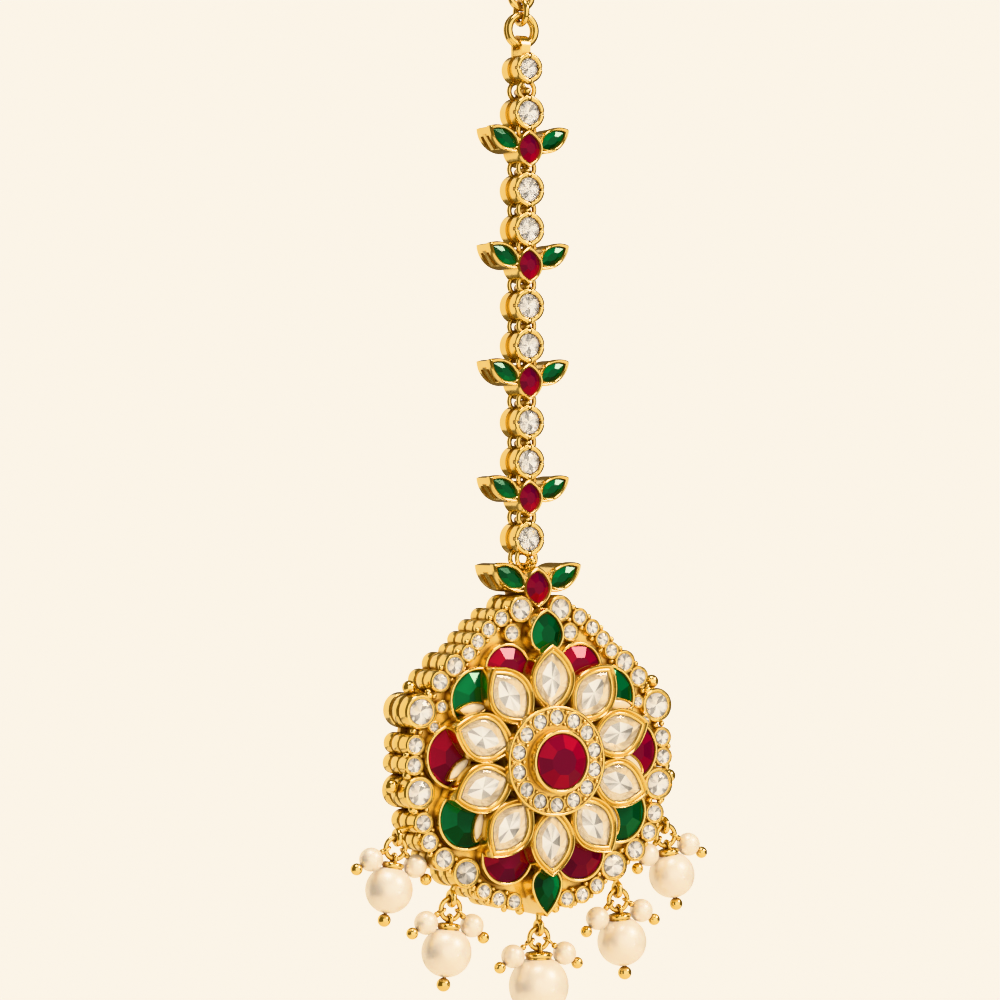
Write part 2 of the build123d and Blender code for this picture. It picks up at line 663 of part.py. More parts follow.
def flower_wells():
    """Space over each petal, pear and crescent seat."""
    petal = prism(marquise(PETAL_HALF_LONG - 1.45 * PETAL_LIP, PETAL_HALF_WIDE - PETAL_LIP),
                  PETAL_RIM - 1.1, PETAL_RIM + 1)
    wells = [at_petal(petal, i) for i in range(PETALS)]
    for angle, away, radius, tip in PEARS:
        well = prism(pear(radius - PEAR_LIP, tip - 1.6 * PEAR_LIP), PEAR_RIM - 0.9, PEAR_RIM + 2)
        wells.append(at_pear(well, angle, away).cut(*gap_stone_cutters(0.0)[0]))
    lens = prism(marquise(LENS_LONG - 2.2 * LENS_LIP, LENS_WIDE - LENS_LIP), GAP_RIM - 0.3, GAP_RIM + 1)
    for angle, side in CRESCENTS:
        wells.append(at_crescent(lens, angle, side).cut(*gap_stone_cutters(0.0)[0]))
    return wells


def boss():
    """Round centre: an outer rim, fourteen small collets and the large stone's raised collet."""
    parts = [disc(BOSS_R - 0.1, 0, 0, FLOOR_TOP - 0.4, BOSS_RIM - 0.25),
             rim_wall(BOSS_R, 0.45, FLOOR_TOP - 0.4, BOSS_RIM),
             collet(RUBY_R + 0.6, 0.57, BOSS_RIM - 1.2, RUBY_RIM, 0.6)]
    small = collet(RING_STONE_R + 0.2, 0.2, BOSS_RIM - 1.2, BOSS_RIM, 0.4)
    parts += [Pos(x, y, 0) * small for x, y in ring_places(RING_STONES, RING_STONES_AT)]
    solid = join(parts[0], parts[1:])
    wells = [disc(RING_STONE_R, x, y, BOSS_RIM - 0.65, BOSS_RIM + 1)
             for x, y in ring_places(RING_STONES, RING_STONES_AT)]
    return solid.cut(disc(RUBY_R, 0, 0, RUBY_RIM - 1.0, RUBY_RIM + 1), *wells)


def pendant_frame():
    metal = join(flower_base(), flower_rims()).cut(*flower_wells())
    metal = join(metal, [boss()])
    metal = metal.cut(disc(BOSS_R - 1.5, 0, 0, BORDER_BACK + PLATE, BOSS_RIM - 1.8))
    metal = join(metal, border_collets() + ball_stems() + eyelets() + [crown_neck()])
    return join(metal, [crown()])


def place_pendant(shape):
    return Pos(0, FLOWER_Y, 0) * shape


def build_pendant():
    write(place_pendant(pendant_frame()), "pendant_frame")
    lift = CROWN_Y
    ruby, leaves = lotus_stones(CROWN_FRONT, CROWN_SCALE)
    write(Pos(0, lift, 0) * ruby, "crown_ruby")
    write(group([Pos(0, lift, 0) * leaf for leaf in leaves]), "crown_emeralds")
    centre = cut_stone(round_outline(RUBY_R - STONE_PLAY, 16), RUBY_RIM - 1.0, RUBY_RIM - 0.25,
                       RUBY_RIM + 0.95, 0.62)
    write(place_pendant(centre), "centre_ruby")
    small = [place_pendant(brilliant(RING_STONE_R - STONE_PLAY, x, y, BOSS_RIM - 0.25))
             for x, y in ring_places(RING_STONES, RING_STONES_AT)]
    write(group(small), "centre_ring_stones")
    outline = marquise_outline(PETAL_HALF_LONG - PETAL_LIP * 1.45 - 2 * STONE_PLAY,
                               PETAL_HALF_WIDE - PETAL_LIP - STONE_PLAY)
    whole = cut_stone(outline, PETAL_RIM - 1.05, PETAL_RIM - 0.4, PETAL_RIM + 0.35)
    centre_disc = disc(BOSS_R + STONE_PLAY, 0, 0, 0, 15)
    for i in range(PETALS):
        stone = at_petal(whole, i).cut(centre_disc).solids()[0]
        write(place_pendant(stone), "petal_stone_" + str(i + 1))
    build_coloured()
    build_border_stones()


def build_coloured():
    """Coloured discs between the petals, cut where petals and pears cover them, and the pears."""
    petals, pears = gap_stone_cutters(STONE_PLAY)
    cover = prism(marquise(LENS_LONG + 0.05, LENS_WIDE + STONE_PLAY), 0, 12)
    covers = [at_crescent(cover, angle, side) for angle, side in CRESCENTS]
    for kind in ("ruby", "emerald"):
        stones = []
        for x, y, radius in gap_settings(kind):
            whole = cut_stone(round_outline(radius - GAP_LIP - STONE_PLAY, 16), GAP_RIM - 0.85,
                              GAP_RIM - 0.3, GAP_RIM + 0.5, 0.5)
            placed = Pos(x, y, 0) * Rot(0, 0, math.degrees(math.atan2(y, x)) + 11.25) * whole
            stones.append(place_pendant(largest(placed.cut(*petals, *pears, *covers))))
        write(group(stones), kind + "_stones")
    drops = []
    for angle, away, radius, tip in PEARS:
        outline = pear_outline(radius - PEAR_LIP - STONE_PLAY, tip - 1.6 * PEAR_LIP - 2 * STONE_PLAY)
        stone = cut_stone(outline, PEAR_RIM - 0.85, PEAR_RIM - 0.3, PEAR_RIM + 0.45)
        drops.append(place_pendant(largest(at_pear(stone, angle, away).cut(*petals))))
    write(group(drops), "emerald_pears")
    gap = LENS_LIP + STONE_PLAY
    lens = prism(marquise(LENS_LONG - 2.2 * gap, LENS_WIDE - gap), GAP_RIM - 0.27, GAP_RIM + 0.45)
    lenses = [largest(at_crescent(lens, angle, side).cut(*petals)) for angle, side in CRESCENTS]
    write(group([place_pendant(piece) for piece in lenses]), "pearl_crescents")


def build_border_stones():
    stones = []
    for table, front in ((BORDER, BORDER_FRONT), (INNER, BORDER_FRONT + 0.1)):
        for _, x, y, radius in table:
            size = radius - 0.22 * radius - 0.05 - STONE_PLAY
            for px, py in both(x, y):
                stones.append(place_pendant(brilliant(size, px, py, front - 0.3)))
    write(group(stones), "border_stones")


# ---- drops ----

def pin(x, y, lean, length, wire=0.2, loop=0.56):
    """Headpin in the bench plane: a loop at the place given and a straight wire below it."""
    eye = ring(loop, wire, 0, 0, 0, "X")
    stem = Pos(0, -loop + 0.02, 0) * Rot(90, 0, 0) * Solid.make_cylinder(wire, length - loop)
    return Pos(x, y, 0) * Rot(0, 0, lean) * join(eye, [stem])


def pearl_solid(radius, wire):
    """Pearl with its drilled hole, hole along Y."""
    ball = Solid.make_sphere(radius, angle1=-90, angle2=90)
    hole = Pos(0, radius + 1, 0) * Rot(90, 0, 0) * Solid.make_cylinder(wire + 0.06, 2 * radius + 2)
    return ball.cut(hole)


def build_drops():
    rings = []
    small = []
    for number, (x, y, height, pearl, lean, _, _) in enumerate(DROPS, 1):
        place = Pos(x, y + FLOWER_Y, height) * Rot(0, 0, lean)
        rings.append(place * Pos(0, -DROP_RING_R, 0) * ring(DROP_RING_R, DROP_WIRE, 0, 0, 0))
        hang = -2 * DROP_RING_R
        cap_y = hang - 1.3
        pearl_y = cap_y + 0.35 - pearl
        bead = 0.28 * pearl
        bead_y = pearl_y - pearl - bead - 0.02
        main = pin(0, hang, 0, hang - bead_y, 0.24, 0.68)
        cap = cap_solid(0.43 * pearl)
        ball = Pos(0, bead_y, 0) * Solid.make_sphere(bead, angle1=-90, angle2=90)
        metal = [join(main, [Pos(0, cap_y, 0) * cap, ball])]
        main_pearl = Pos(0, pearl_y, 0) * pearl_solid(pearl, 0.24)
        clear = Pos(0, cap_y - 0.04, 0) * cap_solid(0.43 * pearl + 0.06)
        main_pearl = main_pearl.cut(clear)
        side_r = SIDE_PEARL_R
        for side in (1, -1):
            spread = side * 75
            sx = DROP_RING_R * math.sin(math.radians(spread))
            sy = -DROP_RING_R - DROP_RING_R * math.cos(math.radians(spread))
            target_x = side * (pearl * 0.72 + 1.05)
            target_y = pearl_y + math.sqrt((pearl + side_r + 0.12) ** 2 - target_x ** 2)
            run = math.hypot(target_x - sx, target_y - sy)
            tilt = math.degrees(math.atan2(target_x - sx, sy - target_y))
            reach = run + side_r + SIDE_BEAD_R + 0.02
            long_pin = pin(sx, sy, tilt, reach, 0.17, 0.64)
            end_x = sx + reach * math.sin(math.radians(tilt))
            end_y = sy - reach * math.cos(math.radians(tilt))
            tip = Pos(end_x, end_y, 0) * Solid.make_sphere(SIDE_BEAD_R, angle1=-90, angle2=90)
            metal.append(join(long_pin, [tip]))
            ball = Pos(target_x, target_y, 0) * Rot(0, 0, tilt) * pearl_solid(side_r, 0.17)
            small.append(place * ball)
        write(group([place * piece for piece in metal]), "drop_mount_" + str(number))
        write(place * main_pearl, "main_pearl_" + str(number))
    write(group(rings), "drop_rings")
    write(group(small), "side_pearls")


def cap_solid(radius):
    """Cushion-shaped cap over the pearl's hole: a disc with a round edge and a low cone on it."""
    edge = 0.3
    rim = Solid.make_torus(radius - edge, edge)
    core = Pos(0, 0, -edge) * Solid.make_cylinder(radius - edge, 2 * edge)
    cone = Pos(0, 0, edge - 0.05) * Solid.make_cone(radius - 1.3 * edge, 0.35, 0.35)
    return Rot(-90, 0, 0) * join(core, [rim, cone])


hook, eye_y = hair_hook()
write(hook, "hair_hook")
write(oval_link(eye_y), "oval_link")
write(top_ring(), "top_ring")
build_chain()
build_pendant()
build_drops()
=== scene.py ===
import bmesh
import bpy
import numpy as np
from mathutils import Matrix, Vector


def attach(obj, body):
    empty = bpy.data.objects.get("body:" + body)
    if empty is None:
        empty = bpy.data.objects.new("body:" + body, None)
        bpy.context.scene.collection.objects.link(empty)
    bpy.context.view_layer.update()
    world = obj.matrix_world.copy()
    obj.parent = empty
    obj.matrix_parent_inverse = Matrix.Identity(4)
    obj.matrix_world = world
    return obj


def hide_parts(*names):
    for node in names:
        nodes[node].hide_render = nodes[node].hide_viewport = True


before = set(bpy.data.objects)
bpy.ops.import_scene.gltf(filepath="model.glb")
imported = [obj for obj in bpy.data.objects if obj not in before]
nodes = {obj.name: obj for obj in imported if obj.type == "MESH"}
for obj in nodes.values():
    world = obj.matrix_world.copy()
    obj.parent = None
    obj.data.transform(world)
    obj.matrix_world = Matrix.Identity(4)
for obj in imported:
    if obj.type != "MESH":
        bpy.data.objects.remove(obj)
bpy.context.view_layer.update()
scene = bpy.context.scene


# ---- studio ----
# The tikka hangs free over a low pale floor, in a cream room.  A wide soft window faces it, a small
# bright lamp stands up to the right, and a panel behind keeps the gold's flanks and back bright.

def linear(code):
    """Linear RGBA of an sRGB hex colour: each channel through the sRGB curve."""
    channel = np.array([int(code[i:i + 2], 16) for i in (1, 3, 5)]) / 255
    low = channel / 12.92
    high = ((channel + 0.055) / 1.055) ** 2.4
    return (*np.where(channel <= 0.04045, low, high).tolist(), 1.0)


def add(tree, kind, values=None, **settings):
    """Adds a node, sets its properties, and gives each named input a value or a link."""
    made = tree.nodes.new(kind)
    for name, value in settings.items():
        setattr(made, name, value)
    for name, value in (values or {}).items():
        if isinstance(value, bpy.types.NodeSocket):
            tree.links.new(value, made.inputs[name])
        else:
            made.inputs[name].default_value = value
    return made


scene.view_settings.view_transform = "Khronos PBR Neutral"

# The eye meets a bright cream wall, and the gold only the wall's faint warm glow.
room = bpy.data.worlds.new("cream_room")
scene.world = room
room.use_nodes = True
tree = room.node_tree
tree.nodes.clear()
rays = add(tree, "ShaderNodeLightPath")
wall = add(tree, "ShaderNodeBackground", {"Color": linear("#FDF4E6"), "Strength": 2.2})
glow = add(tree, "ShaderNodeBackground", {"Color": linear("#F2D3AC"), "Strength": 0.24})
shown = add(tree, "ShaderNodeMixShader", {0: rays.outputs["Is Camera Ray"], 1: glow.outputs[0],
                                          2: wall.outputs[0]})
add(tree, "ShaderNodeOutputWorld", {"Surface": shown.outputs[0]})

MIDDLE = np.array((0.0, -0.012, -0.09))    # what the lamps point at, m
LAMPS = (   # name, x, y, z from the middle in metres, width, height, watts, colour
    ("key", 0.42, -0.5, 0.5, 0.22, 0.22, 9.0, "#FFF9EE"),
    ("window", -0.05, -0.95, 0.1, 1.5, 1.05, 8.6, "#FFFCF6"),
    ("panel", -0.3, 0.81, 0.1, 1.0, 0.9, 3.4, "#FFF5E2"),
    ("top", -0.1, -0.1, 0.6, 0.2, 0.2, 3.0, "#FFFFFF"))
for name, x, y, z, wide, high, watts, colour in LAMPS:
    lamp = bpy.data.lights.new(name + "_lamp", "AREA")
    lamp.shape = "RECTANGLE"
    lamp.size = wide
    lamp.size_y = high
    lamp.energy = watts
    lamp.color = linear(colour)[:3]
    stand = bpy.data.objects.new(name + "_lamp", lamp)
    scene.collection.objects.link(stand)
    stand.location = MIDDLE + (x, y, z)
    stand.rotation_mode = "QUATERNION"
    stand.rotation_quaternion = Vector((x, y, z)).to_track_quat("Z", "Y")
    stand.visible_camera = False

VIEW_AZIMUTH = np.radians(-28.2)           # the eye stands this far round towards -x
VIEW_DISTANCE = 0.534
AIM = np.array((0.0, -0.0057, -0.081))
ASIDE = -0.0041                            # the view is centred a little to the left of the chain
back = np.array((np.sin(VIEW_AZIMUTH), -np.cos(VIEW_AZIMUTH), 0.0))
right = np.array((np.cos(VIEW_AZIMUTH), np.sin(VIEW_AZIMUTH), 0.0))
camera = bpy.data.objects.new("camera", bpy.data.cameras.new("camera"))
scene.collection.objects.link(camera)
camera.data.lens = 140.4
camera.data.sensor_width = 36
camera.data.clip_start = 0.05
camera.location = AIM + ASIDE * right + VIEW_DISTANCE * back
camera.rotation_mode = "QUATERNION"
camera.rotation_quaternion = Vector(back).to_track_quat("Z", "Y")
scene.camera = camera


# ---- gold ----
# Every metal piece is cast brass, polished by hand and plated with warm yellow gold.  The polish
# leaves faint waves.  In recesses the plating is duller, and painted brown as painted shade.

RECESS = 0.0011            # metal that has other metal nearer than this is in a recess and takes painted shade, m


def fineness(size):
    """Noise scale for features of so many millimetres: 1000 over the size, to the nearest ten."""
    return float(round(1000 / size, -1))


def empty_material(name):
    """A material with no shader yet, its node tree, and its object coordinates."""
    made = bpy.data.materials.new(name)
    made.use_nodes = True
    made.node_tree.nodes.clear()
    return made, made.node_tree, add(made.node_tree, "ShaderNodeTexCoord").outputs["Object"]


def gold_plate(name, high, low, painted_shade):
    """Gold plating: a warm mirror with faint waves, painted brown as shade where the part shuts in
    the light.
    """
    metal, tree, place = empty_material(name)
    shut = add(tree, "ShaderNodeAmbientOcclusion", {"Distance": RECESS}, samples=8)
    unshaded_part = add(tree, "ShaderNodeMapRange", {"Value": shut.outputs["AO"], "From Min": 0.2,
                                                 "From Max": 0.8})
    cloud = add(tree, "ShaderNodeTexNoise", {"Vector": place, "Scale": fineness(2.5),
                                             "Detail": 3.0})
    tone = add(tree, "ShaderNodeMix", {"Factor": cloud.outputs[0], 6: linear(low),
                                       7: linear(high)}, data_type="RGBA")
    # Painted shade: where ambient occlusion finds a recess, the colour turns to the brown shade
    # colour and the metal share falls.
    colour = add(tree, "ShaderNodeMix", {"Factor": unshaded_part.outputs[0], 6: linear(painted_shade),
                                         7: tone.outputs[2]}, data_type="RGBA")
    polish = add(tree, "ShaderNodeMapRange", {"Value": cloud.outputs[0], "To Min": 0.13,
                                              "To Max": 0.22})
    dull = add(tree, "ShaderNodeMapRange", {"Value": unshaded_part.outputs[0], "To Min": 0.5,
                                            "To Max": polish.outputs[0]})
    metal_share = add(tree, "ShaderNodeMapRange", {"Value": unshaded_part.outputs[0], "To Min": 0.6,
                                            "To Max": 1.0})
    waves = add(tree, "ShaderNodeTexNoise", {"Vector": place, "Scale": fineness(0.91),
                                             "Detail": 2.0})
    bump = add(tree, "ShaderNodeBump", {"Height": waves.outputs[0], "Strength": 0.35,
                                        "Distance": 0.00004})
    shader = add(tree, "ShaderNodeBsdfPrincipled", {
        "Base Color": colour.outputs[2], "Metallic": metal_share.outputs[0], "Roughness": dull.outputs[0],
        "Normal": bump.outputs[0]})
    add(tree, "ShaderNodeOutputMaterial", {"Surface": shader.outputs[0]})
    return metal


# The last colour is the brown of the painted shade in recesses.
gold = gold_plate("gold_plated_brass", "#F3D892", "#E9C570", "#8E5217")
for node in nodes.values():
    if node.data.materials[0].name.startswith("gold"):
        node.data.materials[0] = gold


# ---- bezels of the round links ----
# Each round link has a raised half-round bezel with a small point at its top and bottom, and four
# short saw cuts that let the setter press its rim over the stone.  The cuts carry dark painted
# shade.

CHAIN_Y = -3.2             # depth of the chain's middle plane; mm, as all sizes up to the floor's
LINK_FRONT = 2.5           # height of the links' front over that plane
FIRST_LINK_R = 2.0
LINK_R = 2.3
LINK_LIP = 0.64            # width of the lip
LIP_TOP, LIP_FOOT = 0.17, -0.6             # over the link's front
LIP_OVER = 0.03            # what the lip stands out over each edge of the link's wall
LIP_FLAT = 0.05            # how much lower the arch is than half a circle
POINT_OUT, POINT_WIDE = 0.24, 0.2          # size of a point, and its half width in radians
CUT_DEEP, CUT_WIDE = 0.42, 0.085           # depth of a saw cut, and its half width in radians
BEZEL_ROUND = 180          # steps round a bezel
CUT_STEPS = 3              # steps on each side of a cut's middle that are sawn
ROUND_AT = (-21.85, -27.95, -38.45, -43.9, -54.4, -59.85, -70.35, -75.8, -86.3)


def hang(points):
    """Bench millimetres (x, y up the chain, height to the front) as metres in the hanging frame."""
    x, y, height = np.moveaxis(points, -1, 0)
    return np.stack((x, CHAIN_Y - height, y), -1) / 1000


def copies(points, faces, places):
    """The shape at each place (x, y, height, turn in degrees, scale), as one set of arrays."""
    x, y, height, turn, scale = np.array(places, float).T[:, :, None]
    cos, sin = np.cos(np.radians(turn)), np.sin(np.radians(turn))
    px, py, ph = points.T[:, None, :]
    moved = np.stack((x + scale * (px * cos - py * sin), y + scale * (px * sin + py * cos),
                      height + scale * ph), -1)
    step = np.arange(len(moved))[:, None, None] * len(points)
    return moved.reshape(-1, 3), [
        ((rows + step).reshape(-1, rows.shape[1]), kind,
         *[np.tile(tone, len(moved)) for tone in tones]) for rows, kind, *tones in faces]


def piece(name, points, faces, materials, body, slot, smooth=None, instead=()):
    """One object from bench points and groups of faces, which rides on a body.

    A group is (rows of corners, material number), and may have a tone for each face, its painted
    light, from 0 for the deep colour to 1 for the bright one.  smooth is the largest angle in
    degrees between faces that are shaded as one surface.
    """
    mesh = bpy.data.meshes.new(name)
    rows = [row for group in faces for row in group[0].tolist()]
    mesh.from_pydata(hang(points).tolist(), [], rows)
    kinds = np.concatenate([np.full(len(group[0]), group[1]) for group in faces])
    mesh.polygons.foreach_set("material_index", kinds.astype(np.int32))
    tones = np.concatenate([group[2] if len(group) > 2 else np.ones(len(group[0]))
                            for group in faces])
    # each face's painted light, kept on the mesh
    painted_facet_light = mesh.attributes.new("painted_facet_light", "FLOAT", "FACE")
    painted_facet_light.data.foreach_set("value", tones.astype(np.float32))
    for material in materials:
        mesh.materials.append(material)
    grid = bmesh.new()
    grid.from_mesh(mesh)
    bmesh.ops.recalc_face_normals(grid, faces=grid.faces)
    grid.to_mesh(mesh)
    grid.free()
    if smooth:
        mesh.shade_smooth()
        mesh.set_sharp_from_angle(angle=np.radians(smooth))
    made = bpy.data.objects.new(name, mesh)
    scene.collection.objects.link(made)
    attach(made, body)
    if instead:
        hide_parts(*instead)


def grid_faces(rings, around, tube=True):
    """Quads between neighbouring rings of points; in a tube, the last ring joins the first."""
    i, j = np.meshgrid(np.arange(rings if tube else rings - 1), np.arange(around), indexing="ij")
    i2, j2 = (i + 1) % rings, (j + 1) % around
    return np.stack((i * around + j, i * around + j2, i2 * around + j2, i2 * around + j),
                    -1).reshape(-1, 4)


def bells(turn, places, width):
    """Sum of a bell curve for each place: e to minus the square of (angle from it / width)."""
    apart = (turn - places[:, None] + np.pi) % (2 * np.pi) - np.pi
    return np.exp(-(apart / width) ** 2).sum(0)


def cut_bezel(radius, lip):
    """An arch on two feet, carried round a circle.

    The circle swells by a narrow bell curve at top and bottom, and the arch sinks by four
    narrower ones, the saw cuts, whose faces are of the second material, their painted shade.
    """
    turn = np.linspace(0, 2 * np.pi, BEZEL_ROUND, endpoint=False)
    quarters = np.arange(4) * np.pi / 2
    arch = np.linspace(0, np.pi, 9)
    rise = lip / 2 - LIP_FLAT
    across = np.concatenate((np.cos(arch), (-1, 1)))[:, None] * (lip / 2 + LIP_OVER)
    up = np.concatenate((LIP_TOP + rise * (np.sin(arch) - 1), (LIP_FOOT, LIP_FOOT)))[:, None]
    outer_half, raised_part = across > -1e-9, up > LIP_FOOT
    swell = outer_half * POINT_OUT * bells(turn, quarters[1::2], POINT_WIDE)
    sunk = raised_part * CUT_DEEP * bells(turn, quarters, CUT_WIDE)
    ring = radius - lip / 2 + across + swell
    rows = grid_faces(len(up), BEZEL_ROUND)
    sawn = (rows[:, 0] + CUT_STEPS) % (BEZEL_ROUND // 4) < 2 * CUT_STEPS
    return (np.stack((ring * np.cos(turn), ring * np.sin(turn), up - sunk), -1).reshape(-1, 3),
            [(rows[~sawn], 0), (rows[sawn], 1)])


# Gold painted dark brown: the painted shade that takes the light out of the cuts.
cut_shade_gold = gold_plate("tarnished_gold_in_saw_cuts", "#8A5A1E", "#6E4312", "#4A2A0A")
first = [(0, ROUND_AT[0], LINK_FRONT, 0, 1)]
others = [(0, y, LINK_FRONT, 0, 1) for y in ROUND_AT[1:]]
piece("first_link_bezel", *copies(*cut_bezel(FIRST_LINK_R, LINK_LIP), first), [gold, cut_shade_gold],
      "chain", "gold_plate", smooth=40)
piece("link_bezels", *copies(*cut_bezel(LINK_R, LINK_LIP), others), [gold, cut_shade_gold],
      "chain", "gold_plate", smooth=40)


# ---- white stones of the chain ----
# Round brilliants of clear glass with a silver foil behind: a flat table, eight kites, eight stars
# and sixteen girdle facets in front, and a folded silver back that throws the light out again.

SEAT_PLAY = 0.03           # between a stone and its lip
BRILLIANT_SUNK = 0.28      # a girdle's depth below the link's front
BRILLIANT_TURN = 10        # each stone is set so many degrees further round than the one above it


def cut_glass(name, code):
    """Cut and polished glass: colourless or tinted through, with a wet, even gloss."""
    glass, tree, place = empty_material(name)
    streak = add(tree, "ShaderNodeTexNoise", {"Vector": place, "Scale": fineness(1.11),
                                              "Detail": 1.0})
    worn = add(tree, "ShaderNodeMapRange", {"Value": streak.outputs[0], "To Min": 0.0,
                                            "To Max": 0.03})
    shader = add(tree, "ShaderNodeBsdfPrincipled", {
        "Base Color": linear(code), "Roughness": worn.outputs[0], "IOR": 1.5,
        "Transmission Weight": 1.0})
    add(tree, "ShaderNodeOutputMaterial", {"Surface": shader.outputs[0]})
    return glass


def foil(name, bright, deep, shine, dull, coat=0.0, gloss=0.5):
    """Metal foil pressed behind a stone: each facet has its own painted tone, a painted reflection,
    under a faint crumple.
    """
    leaf, tree, place = empty_material(name)
    crease = add(tree, "ShaderNodeTexNoise", {"Vector": place, "Scale": fineness(1.43),
                                              "Detail": 2.0})
    facet_light = add(tree, "ShaderNodeAttribute", attribute_name="painted_facet_light")
    uneven = add(tree, "ShaderNodeMapRange", {"Value": crease.outputs[0], "To Min": 0.94,
                                              "To Max": 1.06})
    share = add(tree, "ShaderNodeMath", {0: facet_light.outputs["Fac"], 1: uneven.outputs[0]},
                operation="MULTIPLY", use_clamp=True)
    # Painted reflection: each facet's tone, from dark to bright, stands in for the light it throws
    # back.
    tone = add(tree, "ShaderNodeMix", {"Factor": share.outputs[0], 6: linear(deep),
                                       7: linear(bright)}, data_type="RGBA")
    shader = add(tree, "ShaderNodeBsdfPrincipled", {
        "Base Color": tone.outputs[2], "Metallic": shine, "Roughness": dull, "Coat Weight": coat,
        "Coat Roughness": 0.04, "Specular IOR Level": gloss})
    add(tree, "ShaderNodeOutputMaterial", {"Surface": shader.outputs[0]})
    return leaf


def round_edge(count):
    """Unit circle, as count points."""
    turn = 2 * np.pi * np.arange(count) / count
    return np.stack((np.cos(turn), np.sin(turn)), -1)


def level(ring, height):
    """The ring of (x, y) points raised to one height."""
    return np.column_stack((ring, np.full(len(ring), height)))


def brilliant_cut(edge, rise=0.34, deep=0.36, shoulder=0.62, belt=0.06):
    """Brilliant over a closed edge of 16 points.

    The rings are the edge scaled about its middle: the table at every other point, the stars'
    tips between them, the girdle twice, a ring of the back and the back's point.  The tips and
    the back's ring stand at the share shoulder of the front's rise and the back's depth.
    """
    points = np.concatenate((
        level(edge[0::2] * 0.55, rise), level(edge[1::2] * 0.8, rise * shoulder),
        level(edge, 0.0), level(edge, -belt), level(edge[1::2] * 0.45, -deep * shoulder),
        [(0, 0, -deep)]))
    stars, girdles, lows, inners, last = 8, 16, 32, 48, 56      # first point of each ring
    k, j = np.arange(8), np.arange(16)
    after, before, j2 = (k + 1) % 8, (k - 1) % 8, (j + 1) % 16
    star, girdle, low, inner = stars + k, girdles + 2 * k, lows + 2 * k, inners + k
    tip = np.full(8, last)
    girdle2, low2 = girdles + (2 * k + 2) % 16, lows + (2 * k + 2) % 16
    front = [
        (k[None], 0), (np.stack((k, star, after), -1), 0),
        (np.stack((k, stars + before, girdle, star), -1), 0),
        (np.stack((star, girdle, girdle + 1), -1), 0),
        (np.stack((star, girdle + 1, girdle2), -1), 0),
        (np.stack((girdles + j, lows + j, lows + j2, girdles + j2), -1), 0)]
    # painted reflection of each back facet in turn, from 0 for the deep colour to 1 for the bright
    # one
    shades = np.array((1.0, 0.35, 1.0, 0.8, 1.0, 0.25, 0.95, 0.7))
    rear = [
        (np.stack((tip, inners + before, low, inner), -1), 1, shades),
        (np.stack((inner, low, low + 1), -1), 1, np.roll(shades, 3)),
        (np.stack((inner, low + 1, low2), -1), 1, np.roll(shades, 5))]
    return points, front + rear


# Crystal glass is water-clear, so the eye meets the silver foil, its facets painted bright and grey
# as painted reflections.
crystal = cut_glass("cut_crystal_glass", "#FFFFFF")
silver_foil = foil("silver_foil", "#FFFFFF", "#77736D", shine=0.22, dull=0.15)
brilliant = brilliant_cut(round_edge(16))
places = [(0, y, LINK_FRONT - BRILLIANT_SUNK, BRILLIANT_TURN * n, radius - LINK_LIP - SEAT_PLAY)
          for n, (y, radius) in enumerate(zip(ROUND_AT, [FIRST_LINK_R] + [LINK_R] * 8))]
piece("chain_brilliants", *copies(*brilliant, places), [crystal, silver_foil], "chain",
      "white_stone", instead=["chain_diamonds"])


# ---- knuckles between the links ----
# A short round-ended gold rod is soldered on top of each link, through both its jump rings, and
# keeps the links from turning over.

KNUCKLE_R, KNUCKLE_FRONT, KNUCKLE_BACK = 0.55, 2.2, -1.6
KNUCKLES_AT = (-24.92, -35.92, -41.34, -51.84, -57.29, -67.79, -73.24, -83.74)


def bead(across=12, rings=7, stretch=0.0):
    """Unit ball: circles of points whose height and radius follow the cosine and sine of the turn.

    stretch moves its front half forward, with the widest circle, and makes it a round-ended rod.
    """
    turn = np.linspace(0, np.pi, rings + 2)[1:-1, None]
    circle = round_edge(across)
    front = turn < 0.51 * np.pi
    body = np.stack(np.broadcast_arrays(np.sin(turn) * circle[:, 0], np.sin(turn) * circle[:, 1],
                                        np.cos(turn) + stretch * front), -1).reshape(-1, 3)
    k = np.arange(across)
    ends = [np.stack((np.full(across, len(body) + n), ring + k, ring + (k + 1) % across), -1)
            for n, ring in enumerate((0, (rings - 1) * across))]
    return (np.concatenate((body, [(0, 0, 1 + stretch), (0, 0, -1)])),
            [(grid_faces(rings, across, tube=False), 0), (ends[0], 0), (ends[1], 0)])


rod = bead(across=16, rings=9, stretch=(KNUCKLE_FRONT - KNUCKLE_BACK) / KNUCKLE_R - 2)
places = [(0, y, KNUCKLE_BACK + KNUCKLE_R, 0, KNUCKLE_R) for y in KNUCKLES_AT]
piece("link_knuckles", *copies(*rod, places), [gold], "chain", "gold_plate", smooth=60)


# ---- stones of the lotus links and the crown ----
# Each lotus holds a pointed ruby between two emeralds, all of glass paste over coloured foil, with
# a flat table and one row of facets.  The crown on the pendant is the same lotus, a tenth larger.

